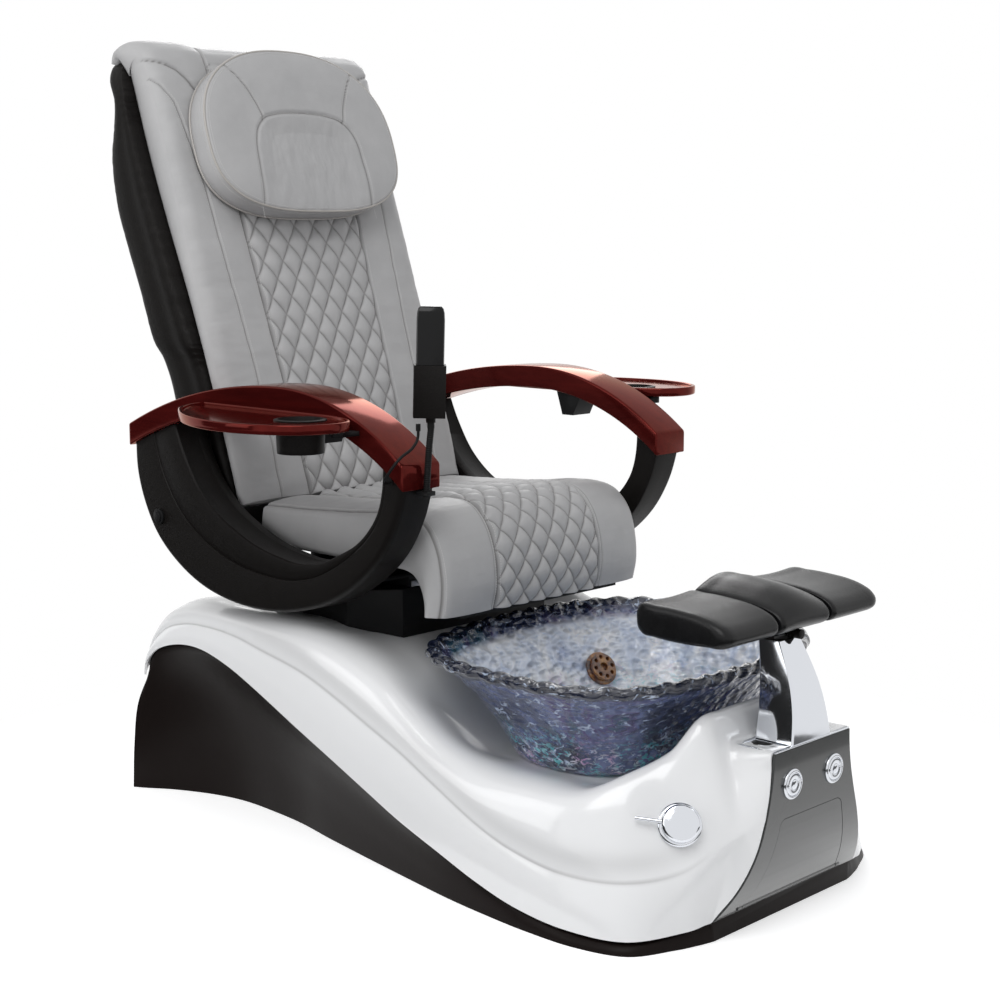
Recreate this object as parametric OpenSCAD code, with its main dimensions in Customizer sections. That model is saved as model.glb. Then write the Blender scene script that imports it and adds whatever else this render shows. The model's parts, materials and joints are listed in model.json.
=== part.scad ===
// Pedicure spa chair: a reclining, sliding chair on a moulded base with a glass foot bowl.
// X across the chair, -Y forward over the bowl, +Z up from the floor. Millimetres.

/* [Base] */
// Length of the base from the rear skirt to the front fascia
base_l = 1384; // [1300:2:1440]
// Width of the base at the floor
base_w = 732; // [700:2:760]
// Height of the deck that carries the chair
deck_z = 400; // [380:1:404]
// Height of the low deck that carries the bowl
bowl_deck_z = 216; // [206:1:226]
// Thickness of the moulded top shell
shell_t = 5; // [4:0.5:6]
// Thickness of the steel floor plate
floor_plate_t = 8; // [6:0.5:10]
// Height of the front block that carries the footrest tower
block_z = 297; // [290:1:304]
// Thickness of the front fascia
fascia_t = 5; // [4:0.5:6]

/* [Bowl] */
// Width of the bowl over its rim
bowl_w = 682; // [640:2:700]
// Length of the bowl over its rim
bowl_l = 528; // [500:2:540]
// Height of the bowl from its foot to the rim's middle
bowl_h = 176; // [160:1:184]
// Wall of the glass
bowl_wall = 9; // [7:0.5:11]
// Diameter of the rope-twist rim
rim_d = 21; // [18:0.5:24]

/* [Chair] */
// Width of the seat
seat_w = 540; // [500:2:548]
// Height of the seat's surface beside the quilted panel
seat_z = 612; // [600:1:620]
// Height of the seat cushion at the sides
seat_t = 78; // [70:1:84]
// Recline of the backrest from upright at rest
back_lean = 18.8; // [17:0.1:20]
// Width of the backrest cushion
back_w = 572; // [540:2:574]
// Thickness of the backrest cushion
back_t = 78; // [70:1:84]
// Width of the quilted panels
quilt_w = 272; // [240:2:290]
// Depth of the quilting
quilt_d = 7; // [4:0.5:9]
// Width of the headrest pillow
pillow_w = 486; // [460:2:520]
// Height of the headrest pillow
pillow_h = 338; // [300:2:350]
// Thickness of the headrest pillow
pillow_t = 84; // [70:1:90]

/* [Arms] */
// Distance between the outer faces of the arm frames
arms_w = 740; // [720:2:760]
// Thickness of each arm frame
arm_t = 72; // [64:1:76]
// Width of each armrest
armrest_w = 88; // [80:1:92]
// Thickness of each armrest
armrest_t = 43; // [38:1:46]
// Height of the armrest's highest line
armrest_z = 842; // [830:1:850]
// Bore of the cup holder
cup_d = 76; // [70:1:80]
// Thickness of the side trays
tray_t = 17; // [14:0.5:20]
// Height of the tray rim
tray_z = 803; // [798:1:806]

/* [Footrest] */
// Length of the footrest across the three pads
pads_w = 436; // [400:2:450]
// Depth of the footrest pads
pads_d = 186; // [170:1:196]
// Height of the footrest tower over its plate
tower_h = 158; // [150:1:164]

/* [Controls] */
// Diameter of the round push buttons
button_d = 38; // [32:1:42]
// Travel of the push buttons
button_travel = 2; // [1:0.25:3]
// Diameter of the valve's round body
valve_d = 68; // [60:1:72]
// Length of the handset
remote_l = 176; // [160:1:190]

/* [Clearances] */
// Gap between parts that move past each other
gap = 0.4; // [0.3:0.05:0.6]
// Radial running clearance of pins in their bores
pin_gap = 0.05; // [0.03:0.01:0.08]

/* [Hidden] */
$fn = 48;

black = [0.12, 0.11, 0.11]; white = [0.93, 0.93, 0.93]; grey = [0.48, 0.49, 0.49];
chrome = [0.8, 0.81, 0.83]; leather = [0.69, 0.685, 0.69]; wood = [0.36, 0.09, 0.08];
glass = [0.35, 0.42, 0.62]; pu = [0.14, 0.14, 0.15]; amber = [0.5, 0.25, 0.1];

// ---- curves, lofts ----
function cr(a, b, c, d, t) = 0.5 * (2 * b + (c - a) * t + (2 * a - 5 * b + 4 * c - d) * t * t
    + (3 * b - a - 3 * c + d) * t * t * t);
// smooth value along a list of numbers, points or sections, u from 0 to len-1
function along(list, u) = let (n = len(list) - 1, i = max(0, min(floor(u), n - 1)))
    cr(list[max(i - 1, 0)], list[i], list[i + 1], list[min(i + 2, n)], u - i);
function lerp(a, b, t) = a + (b - a) * t;
function unit(v) = v / max(norm(v), 1e-9);
function reversed(v) = [for (i = [len(v) - 1:-1:0]) v[i]];
function mirror_x(v) = [for (p = v) [-p[0], p[1], p[2]]];
// a section drawn on the +X side, ending on the centre line, carried across to -X
function across(half) = concat(half, [for (i = [len(half) - 2:-1:0]) [-half[i][0], half[i][1], half[i][2]]]);
// faces of n rings of m points; the ends are closed by one face or by strips between partners
// from point number turn onward each cell is split along its other diagonal
function band(n, m, turn) = [for (i = [0:n - 2], j = [0:m - 1]) let (a = i * m + j, b = i * m + (j + 1) % m)
    each j < turn ? [[a, a + m, b + m], [a, b + m, b]] : [[a, a + m, b], [b, a + m, b + m]]];
function strips(m, o, out) = let (f = concat([for (j = [0:floor(m / 2) - 2])
    let (a = o + j, b = a + 1, c = o + m - 2 - j, d = c + 1) each [[a, b, c], [a, c, d]]], m % 2 == 0 ? [] : [[o + (m - 3) / 2, o + (m - 1) / 2, o + (m + 1) / 2]]))
    out ? f : [for (q = f) reversed(q)];
module loft(rings) {
    n = len(rings); m = len(rings[0]);
    polyhedron([for (r = rings) each r],
        concat(band(n, m, m), [[for (j = [0:m - 1]) j]], [[for (j = [m - 1:-1:0]) (n - 1) * m + j]]), convexity = 8);
}
module loft_strips(rings, turn = 1000) {
    n = len(rings); m = len(rings[0]);
    polyhedron([for (r = rings) each r],
        concat(band(n, m, turn), strips(m, 0, true), strips(m, (n - 1) * m, false)), convexity = 8);
}

// ---- base: stations from the rear to the front, drawn at 1384 x 732 ----
ky = base_l / 1384; kx = base_w / 732;
rear_y = 650;
front_y = rear_y - base_l;
// heights of the decks: 1 is the chair's deck, 0 the bowl's deck, -1 the front block, beyond -1 the hump behind it
function lev(v) = v >= 0 ? bowl_deck_z + (deck_z - bowl_deck_z) * v : bowl_deck_z - (block_z - bowl_deck_z) * v;
// lower edge of the shell: x, y, height as a share of the deck's
edge_rail = [[343, 610, .595], [352, 588, .68], [358, 540, .765], [360, 470, .815], [360, 400, .818],
    [360, 320, .77], [360, 235, .688], [360, 124, .568], [360, 30, .47], [360, -60, .375], [360, -142, .29],
    [360, -235, .21], [360, -330, .132], [360, -421, .08], [354, -520, .055], [325, -615, .05],
    [250, -666, .07], [214, -679, .085], [202, -682, .088]];
// crease along the shell's flank
crease_rail = [[341, 610, .615], [349, 580, .742], [355, 525, .857], [357, 462, .91], [357, 390, .925],
    [357, 305, .915], [357, 228, .88], [357, 118, .828], [357, 30, .755], [357, -60, .665], [357, -140, .585],
    [356, -230, .475], [355, -325, .365], [353, -410, .3], [343, -505, .262], [307, -596, .26],
    [244, -656, .3], [184, -692, .405], [152, -712, .45]];
// shoulder between the flank and the deck: x, y, level
shoulder_rail = [[320, 604, .215], [326, 568, .6], [330, 512, .9], [331, 455, .985], [332, 385, 1],
    [333, 300, 1], [333, 215, 1], [333, 125, .97], [332, 35, .855], [331, -55, .675], [330, -135, .43],
    [328, -225, .175], [326, -310, .035], [322, -400, 0], [310, -490, 0], [262, -545, -.35],
    [198, -588, -.75], [142, -620, -1.54], [112, -652, -1]];
// middle of the deck: y, level
deck_rail = [[606, .23], [572, .62], [516, .92], [455, .995], [385, 1], [300, 1], [215, 1], [130, .995],
    [40, .88], [-50, .645], [-125, .28], [-195, 0], [-290, 0], [-400, 0], [-500, 0], [-548, -.4],
    [-586, -1], [-615, -1.57], [-651, -1]];
// foot of the skirt on the floor: x, y
floor_rail = [[354, 650], [338, 622], [306, 572], [272, 492], [256, 410], [259, 310], [268, 225], [287, 130],
    [305, 30], [322, -70], [336, -155], [350, -245], [360, -340], [366, -440], [362, -540], [333, -624],
    [262, -662], [222, -676], [204, -681], [190, -684]];
function by(y) = rear_y - (rear_y - y) * ky;
function pt(r, z) = [r[0] * kx, by(r[1]), z];

// front fascia: its face bulges forward and its edges flare to the floor
fascia_z0 = 36;
function fascia_y(z) = front_y + 36 * pow(max(0, (200 - z) / 150), 2.6);
function fascia_x(z) = (106 + 84 * pow(max(0, (block_z + 1 - z) / (block_z - 49)), 1.8)) * kx;
function fascia_edge(z, inset) = [fascia_x(z), fascia_y(z) + inset, z];

crease_d = 3;
// how far the deck has sunk to its middle height a third of the way in
dish = .9;
station_n = len(edge_rail);
function flank(k) = let (
        l = pt(edge_rail[k], edge_rail[k][2] * deck_z), g = pt(crease_rail[k], crease_rail[k][2] * deck_z),
        c = pt(shoulder_rail[k], lev(shoulder_rail[k][2])), d = pt([0, deck_rail[k][0]], lev(deck_rail[k][1])),
        n = lerp(g, c, .55) + [8, 0, 6] * (k < 16 ? 1 : .4))
    [l, lerp(l, g, .55) + [k > 0 ? 2.5 : 0, 0, 0], lerp(l, g, .86), g - [k > 0 ? crease_d : 0, 0, 0], lerp(g, n, .3), n, c,
     [lerp(c[0], d[0], .35), lerp(c[1], d[1], .35), lerp(c[2], d[2], dish)], d];
function front_section() = let (i = fascia_t + 0.3, t = block_z - .5)
    concat([for (z = [fascia_z0, 84, 140, 195, 240, 272, t]) fascia_edge(z, i)],
        [[fascia_x(t) * .65, fascia_y(t) + i, t], [0, fascia_y(t) + i, t]]);
base_sections = concat([for (k = [0:station_n - 1]) flank(k)], [front_section()]);
base_rings = [for (u = [0:.5:station_n]) along(base_sections, u)];
// the wall is measured toward a line under the base, so that the inner skin never folds;
// over the front hump it is measured straight down to that line
spine_z = -200;
hump = [-665, -520, 230];
function spine_y(q) = q[1] > by(hump[0]) && q[1] < by(hump[1]) && q[2] > hump[2] ? q[1] : q[1] / 2;
end_thin = .6;
function inset_ring(i, t) = let (s = t * (i == 0 || i >= len(base_rings) - 2 ? end_thin : 1))
    [for (q = base_rings[i]) q - s * unit(q - [0, spine_y(q), spine_z])];

module white_shell() {
    color(white) difference() {
        loft_strips([for (i = [0:len(base_rings) - 1])
            concat(across(base_rings[i]), reversed(across(inset_ring(i, shell_t))))], 2 * len(base_rings[0]) - 1);
        valve_hole(0.4);
    }
}
body_gap = 1.5;
floor_gap = 0.5;
function skirt(i) = let (
        top = inset_ring(i, shell_t + body_gap)[0], f = along(floor_rail, i / 2),
        foot = [f[0] * kx, by(f[1]), floor_gap])
    [foot, [lerp(foot[0], top[0], .16), lerp(foot[1], top[1], .1), lerp(foot[2], top[2], .38)],
     [lerp(foot[0], top[0], .52), lerp(foot[1], top[1], .38), lerp(foot[2], top[2], .76)]];
// the floor plate follows the skirt's foot, set in by d
module floor_outline(d) {
    half = [for (r = floor_rail) [(r[0] - d) * kx, by(r[1]) + (r[1] > 600 ? -d : r[1] < -600 ? d : 0)]];
    polygon(concat(half, [for (q = reversed(half)) [-q[0], q[1]]]));
}
plate_inset = 22;
module floor_plate() { color(black) linear_extrude(floor_plate_t) floor_outline(plate_inset); }
service_w = 160; service_z0 = 62; service_z1 = 172; service_d = 120;
switch_d = 24;
module black_body() {
    color(black) difference() {
        loft_strips([for (i = [0:len(base_rings) - 1])
            across(concat(skirt(i), inset_ring(i, shell_t + body_gap)))]);
        translate([0, 0, -1]) linear_extrude(floor_plate_t + 1.02) floor_outline(plate_inset - .3);
        box([-service_w / 2, front_y, service_z0], [service_w / 2, front_y + service_d, service_z1]);
        for (x = [-button_x, button_x]) translate([x, 0, button_z])
            along_y(button_d / 2 + 5, front_y, front_y + switch_d);
        valve_hole(0.4);
    }
}

// ---- profile helpers: yz(w) draws a (y, z) outline across X, xz(y0, t) an (x, z) outline along Y ----
module yz(x0, x1) { translate([x0, 0, 0]) rotate([90, 0, 90]) linear_extrude(x1 - x0) children(); }
module xz(y0, y1) { translate([0, y1, 0]) rotate([90, 0, 0]) linear_extrude(y1 - y0) children(); }
module along_y(r, y0, y1) { translate([0, y0, 0]) rotate([-90, 0, 0]) cylinder(r = r, h = y1 - y0); }
module along_x(r, x0, x1) { translate([x0, 0, 0]) rotate([0, 90, 0]) cylinder(r = r, h = x1 - x0); }
module box(a, b) { translate(a) cube(b - a); }
module both_sides() { children(); mirror([1, 0, 0]) children(); }
function arc(c, r, a0, a1, n) = [for (i = [0:n]) c + r * [cos(lerp(a0, a1, i / n)), sin(lerp(a0, a1, i / n))]];

// ---- fascia, service door and buttons ----
zs_fascia = [for (i = [0:15]) lerp(fascia_z0, 200, i / 15)];
module fascia_slab(d0, d1) {
    yz(-220, 220) polygon(concat(
        [for (z = zs_fascia) [fascia_y(z) + d0, z]], [[front_y + d0, 320], [front_y + d1, 320]],
        [for (z = reversed(zs_fascia)) [fascia_y(z) + d1, z]]));
}
module fascia_outline() {
    zs = [for (i = [0:14]) lerp(fascia_z0, block_z + .5, i / 14)];
    polygon(concat([for (z = zs) [fascia_x(z), z]], [for (z = reversed(zs)) [-fascia_x(z), z]]));
}
button_x = 59; button_z = 240;
door_z0 = 45; door_z1 = 185; door_w0 = 134; door_w1 = 84; door_corner = 16;
hinge_r = 4; hinge_pin_r = 1.6;
hinge_y = fascia_y(door_z0) + 2;
function door_x(z) = lerp(door_w0, door_w1, pow((z - door_z0) / (door_z1 - door_z0), .8));
module door_outline(g, low) {
    zs = concat(low < door_z0 ? [low] : [], [for (i = [0:8]) lerp(door_z0, door_z1 - door_corner, i / 8)]);
    side = [for (z = zs) [door_x(max(z, door_z0)) + g, z]];
    top = arc([door_x(door_z1 - door_corner) - door_corner, door_z1 - door_corner], door_corner + g, 6, 90, 6);
    polygon(concat(side, top, [for (q = reversed(top)) [-q[0], q[1]]], [for (q = reversed(side)) [-q[0], q[1]]]));
}
module front_fascia() {
    color(grey) difference() {
        union() {
            intersection() { fascia_slab(0, fascia_t); xz(front_y - 5, front_y + 60) fascia_outline(); }
            both_sides() translate([0, hinge_y, door_z0])
                along_x(hinge_r, door_w0 + 2 * gap, door_w0 + 2 * gap + 10);
        }
        xz(front_y - 10, front_y + 60) door_outline(1, door_z0 - hinge_r - 1);
        translate([0, hinge_y, door_z0]) along_x(hinge_pin_r, -160, 160);
        for (s = [-1, 1]) translate([s * button_x, 0, button_z])
            along_y(button_d / 2 + 3, front_y - 10, front_y + 20);
    }
}
module service_door() {
    color(grey) difference() {
        union() {
            intersection() { fascia_slab(.3, 4); xz(front_y - 5, front_y + 60) door_outline(0, door_z0); }
            translate([0, hinge_y, door_z0]) along_x(hinge_r - .3, -door_w0 + 1, door_w0 - 1);
        }
        translate([0, hinge_y, door_z0]) along_x(hinge_pin_r + pin_gap, -160, 160);
    }
}
module door_pin() {
    color(chrome) translate([0, hinge_y, door_z0]) along_x(hinge_pin_r, -door_w0 - 8, door_w0 + 8);
}
module button_bezel(s) {
    r = button_d / 2;
    color(chrome) translate([s * button_x, front_y, button_z]) rotate([90, 0, 0]) rotate_extrude()
        polygon([[r + gap, 5], [r + 4, 5], [r + 6, 3], [r + 6, 0], [r + 3, 0], [r + 3, -16], [r + gap, -16]]);
}
module button(s) {
    r = button_d / 2;
    color(chrome) translate([s * button_x, front_y, button_z]) rotate([90, 0, 0]) rotate_extrude()
        polygon([[0, 5.5], [r * .42, 5.5], [r * .42, 4.8], [r * .5, 4.8], [r * .5, 5.5], [r - 1.5, 5.5],
            [r, 4], [r, -10], [0, -10]]);
}

// ---- top plate and footrest ----
plate_w = 212; plate_d = 79; plate_t = 3;
plate_top = block_z + .8 + plate_t;
slot_x0 = -99; slot_x1 = -62; slot_y0 = front_y + 10; slot_y1 = front_y + 70;
module top_plate() {
    color(chrome) difference() {
        box([-plate_w / 2, front_y + .5, block_z + .8], [plate_w / 2, front_y + plate_d, plate_top]);
        box([slot_x0, slot_y0, 0], [slot_x1, slot_y1, 400]);
    }
}
module plate_slot() {
    color(black) {
        box([slot_x0 + .3, slot_y0 + .3, block_z + .7], [slot_x1 - .3, slot_y1 - .3, block_z + 1.7]);
        for (y = [slot_y0 + 14, slot_y1 - 14])
            translate([lerp(slot_x0, slot_x1, .5), y, block_z + 1]) cylinder(d = 9, h = 2.5);
    }
}
// tower: narrows upward, leans back, and its front edge bows forward
tower_w0 = 55; tower_w1 = 29; tower_front0 = front_y + 3; tower_front1 = front_y + 50;
tower_rear0 = front_y + 77; tower_rear1 = front_y + 93;
module footrest_tower() {
    color(chrome) loft([for (i = [0:8]) let (t = i / 8, w = lerp(tower_w0, tower_w1, pow(t, .9)),
        f = lerp(tower_front0, tower_front1, t) - 11 * sin(180 * t),
        r = lerp(tower_rear0, tower_rear1, t) - 5 * sin(180 * t),
        z = plate_top + .02 + tower_h * t)
        [[-w, f + 3, z], [-w + 3, f, z], [w - 3, f, z], [w, f + 3, z], [w, r, z], [-w, r, z]]]);
}
foot_pin_r = 3.5; foot_ear_r = 6.2; tower_top = plate_top + tower_h + .04;
foot_y = lerp(tower_front1, tower_rear1, .5); foot_z = tower_top + 9;
knob_x = 12;
module footrest_bracket() {
    color(black) difference() {
        union() {
            for (x = [-28, 22]) {
                translate([0, foot_y, foot_z]) along_x(foot_ear_r, x, x + 6);
                box([x, foot_y - foot_ear_r, tower_top], [x + 6, foot_y + foot_ear_r, foot_z]);
            }
            box([-28, foot_y - 20, tower_top], [28, foot_y + 20, tower_top + 1.6]);
            box([knob_x - 8, foot_y - 20, tower_top], [knob_x + 8, foot_y - 13, foot_z + 5]);
        }
        translate([0, foot_y, foot_z]) along_x(foot_pin_r + .02, -60, 60);
        translate([knob_x, 0, foot_z - 1]) along_y(3 + pin_gap, foot_y - 40, foot_y);
    }
}
module footrest_pin() {
    color(chrome) translate([0, foot_y, foot_z]) along_x(foot_pin_r, -30, 30);
}
carrier_z = foot_z + 6;
pad_bottom = carrier_z + 4;
module footrest_carrier() {
    color(chrome) difference() {
        union() {
            translate([0, foot_y, foot_z]) along_x(6, -21.6, 21.6);
            box([-21.6, foot_y - 6.5, foot_z], [21.6, foot_y + 6.5, carrier_z + 1]);
            box([-pads_w * .38, foot_y + 8, carrier_z], [pads_w * .38, foot_y + 58, carrier_z + 2.5]);
            box([-21.6, foot_y - 6.5, carrier_z], [21.6, foot_y + 20, carrier_z + 2.5]);
            for (x = [-pads_w / 3, 0, pads_w / 3])
                translate([x, foot_y + 34, carrier_z]) cylinder(r = 38, h = pad_bottom - carrier_z - .3);
        }
        translate([0, foot_y, foot_z]) along_x(foot_pin_r + pin_gap, -60, 60);
    }
}
// the three pads share one saddle: the middle one is crowned, the outer ones shallow dishes
pad_gap = 7; pads_y = foot_y + 39;
pad_split = pads_w * .165;
function pad_top(x) = let (u = abs(x)) u < pad_split ? 52 + 21 * pow(cos(u / pad_split * 90), 1.2)
    : 55 - 4 * sin(180 * min(1, (u - pad_split) / (pads_w / 2 - pad_split)));
// cross section of a pad at x: k scales its height, e draws its front and rear in
function pad_ring(x, k, e) = let (t = pad_top(x), h = pads_d / 2 - e)
    [for (q = [[-.97, .22], [-1, .5], [-.985, .78], [-.91, .95], [-.55, 1], [0, .97], [.4, .9], [.7, .77],
        [.9, .6], [1, .38], [.99, .2], [.88, .04], [.6, 0], [-.6, 0], [-.87, .05]])
        [x, pads_y - q[0] * h, pad_bottom + lerp(t * .4, q[1] * t, k)]];
// the outer ends round off: distance from the end, height, draw-in
pad_end = [[0, .66, 20], [2.5, .84, 11], [7, .95, 5], [14, .99, 1.5]];
module footrest_pad(x0, x1) {
    l = abs(x0) > pad_split + pad_gap; r = abs(x1) > pad_split + pad_gap; n = 7;
    color(pu) loft(concat(
        l ? [for (q = pad_end) pad_ring(x0 + q[0], q[1], q[2])] : [pad_ring(x0, .88, 4)],
        [for (i = [0:n]) pad_ring(lerp(x0 + (l ? 26 : 6), x1 - (r ? 26 : 6), i / n), 1, 0)],
        r ? [for (q = reversed(pad_end)) pad_ring(x1 - q[0], q[1], q[2])] : [pad_ring(x1, .88, 4)]));
}
module tilt_knob() {
    color(black) translate([knob_x, 0, foot_z - 1]) {
        along_y(3, foot_y - 28, foot_y - 14);
        along_y(8, foot_y - 36, foot_y - 22);
    }
}

// ---- bowl ----
bowl_y = -340;
function rim_n(a) = a > 270 ? 2.7 : 3.4;
function rim_wave(a) = 17 * pow(max(0, sin(a)), 2) + 2 * cos(2 * a);
foot_half = [222, 146]; bowl_foot_z = bowl_deck_z + .8; bowl_foot_y = -358;
rim_z = bowl_foot_z + bowl_h;
function oval(a, hx, hy, n) = let (c = cos(a), s = sin(a),
    r = pow(pow(abs(c) / hx, n) + pow(abs(s) / hy, n), -1 / n)) [r * c, r * s];
bowl_m = 56;
// level t runs 0 at the foot to 1 at the rim; d moves the wall inward
function bowl_loop(t, d, z) = [for (i = [0:bowl_m - 1]) let (a = 360 * i / bowl_m,
    f = oval(a, foot_half[0] - d, foot_half[1] - d, 2.6),
    r = oval(a, bowl_w / 2 - rim_d / 2 - d, bowl_l / 2 - rim_d / 2 - d, rim_n(a)),
    q = lerp(f, r, t), wave = t * t * rim_wave(a))
    [q[0], q[1] + lerp(bowl_foot_y, bowl_y, t), z + wave]];
rim_strands = 20;
function rim_loop(b) = [for (i = [0:bowl_m - 1]) let (a = 360 * i / bowl_m,
    bump = 1 + .07 * cos(b - a * rim_strands), c = cos(b) * rim_d / 2 * bump,
    r = oval(a, bowl_w / 2 - rim_d / 2 + c, bowl_l / 2 - rim_d / 2 + c, rim_n(a)))
    [r[0], r[1] + bowl_y, rim_z + rim_wave(a) + sin(b) * rim_d / 2 * bump]];
module bowl() {
    h = bowl_h;
    color(glass) loft(concat(
        [bowl_loop(0, 14, bowl_foot_z), bowl_loop(.03, 2, bowl_foot_z + 8), bowl_loop(.22, 0, bowl_foot_z + h * .3),
         bowl_loop(.52, 0, bowl_foot_z + h * .62), bowl_loop(.86, 0, bowl_foot_z + h * .9)],
        [for (b = [-60, 0, 60, 120]) rim_loop(b)],
        [bowl_loop(.88, bowl_wall, bowl_foot_z + h * .93), bowl_loop(.52, bowl_wall, bowl_foot_z + h * .64),
         bowl_loop(.22, bowl_wall, bowl_foot_z + h * .32), bowl_loop(.03, bowl_wall + 6, bowl_foot_z + bowl_wall + 3),
         bowl_loop(0, bowl_wall + 20, bowl_foot_z + bowl_wall)]));
}
module bowl_drain() {
    color(chrome) translate([0, bowl_foot_y, bowl_foot_z + bowl_wall + .1]) difference() {
        cylinder(r = 24, h = 4);
        for (a = [0:60:300]) rotate(a) translate([13, 0, -1]) cylinder(r = 3, h = 8);
    }
}
jet_r = 32;
// the jet cover hangs on the rear wall of the bowl
jet_at = [115.5, -183.7, 302.7]; jet_n = [-.166, -.826, .538];
module jet_cover() {
    color(amber) translate(jet_at) rotate([0, acos(jet_n[2] / norm(jet_n)), atan2(jet_n[1], jet_n[0])]) difference() {
        union() { cylinder(r = jet_r, h = 5); cylinder(r = jet_r - 6, h = 14); }
        for (a = [0:45:315]) rotate(a) translate([19, 0, 6]) cylinder(r = 4, h = 20);
        translate([0, 0, 6]) cylinder(r = 8, h = 20);
    }
}

// ---- temperature valve on the right flank ----
valve_at = [-221.5 * kx, by(-635), 187.4]; valve_az = atan2(-.625, -.636); valve_tilt = 63;
module at_valve() { translate(valve_at) rotate([0, 0, valve_az]) rotate([0, valve_tilt, 0]) children(); }
module valve_hole(g) { at_valve() translate([0, 0, -26]) cylinder(r = valve_d / 2 - 6 + g, h = 60); }
module valve_body() {
    r = valve_d / 2;
    color(chrome) at_valve() rotate_extrude()
        polygon([[3.06, -24], [r - 6, -24], [r - 6, 4], [r, 4], [r + 1, 6], [r + 1, 10], [r - 2, 12], [3.06, 12]]);
}
module valve_knob() {
    r = valve_d / 2;
    color(chrome) at_valve() {
        translate([0, 0, -20]) cylinder(r = 3, h = 33);
        translate([0, 0, 12.4]) rotate_extrude()
            polygon([[0, 0], [r - 6, 0], [r - 4, 2], [r - 4, 14], [r - 7, 17], [0, 17]]);
        rotate(-98) translate([0, 0, 18.5]) rotate([0, 90, 0]) cylinder(r = 3, h = r + 38);
    }
}

// ---- pedestal, rails and slide actuator ----
ped_w = 530; ped_y0 = 26; ped_y1 = 300; ped_top = 470; ped_t = 5;
module pedestal() {
    color(black) difference() {
        intersection() {
            yz(-ped_w / 2, ped_w / 2) polygon([[ped_y1, deck_z + 1.2], [ped_y1, ped_top], [ped_y0, ped_top],
                [ped_y0, lev(.89)], [60, lev(.95)], [110, deck_z + .8], [150, deck_z + 1.2]]);
            linear_extrude(ped_top + 1) polygon([for (q = [[1, 95], [.72, ped_y0], [-.72, ped_y0], [-1, 95],
                [-1, ped_y1], [1, ped_y1]]) [q[0] * ped_w / 2, q[1]]]);
        }
        box([-135, ped_y0 + ped_t, deck_z + 6], [135, ped_y1 - ped_t, 600]);
    }
}
rail_x = 155; rail_w = 22; rail_h = 12;
module slide_rails() {
    color(chrome) both_sides()
        box([rail_x - rail_w / 2, ped_y0 + 2, ped_top], [rail_x + rail_w / 2, ped_y1 - 2, ped_top + rail_h]);
}
slide_fwd = 50; slide_back = 30;
act_z = 440; act_r = 8; act_y0 = ped_y0 + ped_t + 1; act_y1 = 150;
module slide_actuator() {
    color(black) difference() {
        union() {
            translate([0, 0, act_z]) along_y(18, act_y0, act_y1);
            box([-22, act_y0 + 10, deck_z + 6.02], [22, act_y0 + 60, act_z]);
        }
        translate([0, 0, act_z]) along_y(act_r + pin_gap, act_y0 - 1, act_y1 + 1);
    }
}
drive_y = act_y1 + slide_fwd + 12;
module slide_rod() {
    color(chrome) translate([0, 0, act_z]) along_y(act_r, act_y0 + slide_fwd + 8, drive_y + 4);
}

// ---- carriage: frame, pan, cushion ----
frame_z = ped_top + rail_h + 8; frame_t = 6; pan_z = 521; pan_t = 6;
arm_in = arms_w / 2 - arm_t;
module seat_frame() {
    color(black) difference() {
        union() {
            box([-arm_in, 30, frame_z], [arm_in, 290, frame_z + frame_t]);
            both_sides() box([rail_x - 18, 30, ped_top + gap + .4], [rail_x + 18, 290, frame_z]);
            for (y = [60, 240]) box([-200, y, frame_z + frame_t], [200, y + 30, pan_z]);
            box([-20, drive_y, act_z - 16], [20, drive_y + 8, frame_z]);
        }
        both_sides() box([rail_x - rail_w / 2 - gap, 0, ped_top - 5],
            [rail_x + rail_w / 2 + gap, 400, ped_top + rail_h + gap]);
        translate([0, 0, act_z]) along_y(act_r + .02, drive_y - 5, drive_y + 4.02);
    }
}
seat_rear = 322; nose_y = -152; seat_low = 452; under_z = seat_z - seat_t - 6;
// outer and inner lines of the seat cushion, rear to front and down (y, z)
seat_outer = [[seat_rear, seat_z - 10], [230, seat_z - 6], [120, seat_z], [25, seat_z + 8], [-50, seat_z + 15],
    [-98, seat_z + 5], [-130, seat_z - 26], [-147, seat_z - 70], [nose_y, seat_z - 118], [nose_y + 7, seat_low]];
seat_under = [[seat_rear, under_z], [230, under_z], [120, under_z], [25, under_z], [-38, under_z],
    [-64, under_z - 2], [-82, under_z - 9], [-96, under_z - 25], [-105, under_z - 49], [-108, seat_low]];
seat_crown = [6, 8, 10, 13, 17, 20, 19, 16, 12, 8];
seat_sides = [0, 0, 0, 0, 0, 3, 8, 11, 12, 12];
module seat_pan() {
    z = under_z - gap;
    color(black) {
        box([-seat_w / 2 + 50, -38, pan_z], [seat_w / 2 - 50, seat_rear - 8, z]);
        yz(-seat_w / 2 + 60, seat_w / 2 - 60) polygon([[-36, z], [-60, z - 4], [-77, z - 12], [-90, z - 28], [-99, z - 52],
            [-103, seat_low - 3], [-140, seat_low - 3], [-140, seat_low - 9], [-97, seat_low - 9], [-93, z - 54],
            [-84, z - 31], [-72, z - 18], [-56, z - 10.5], [-36, z - 6.5]]);
    }
}
// height of the padding over the line, at a column
panel_cols = 12;
function panel_x(k) = quilt_w * (k / panel_cols - .5);
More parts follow.
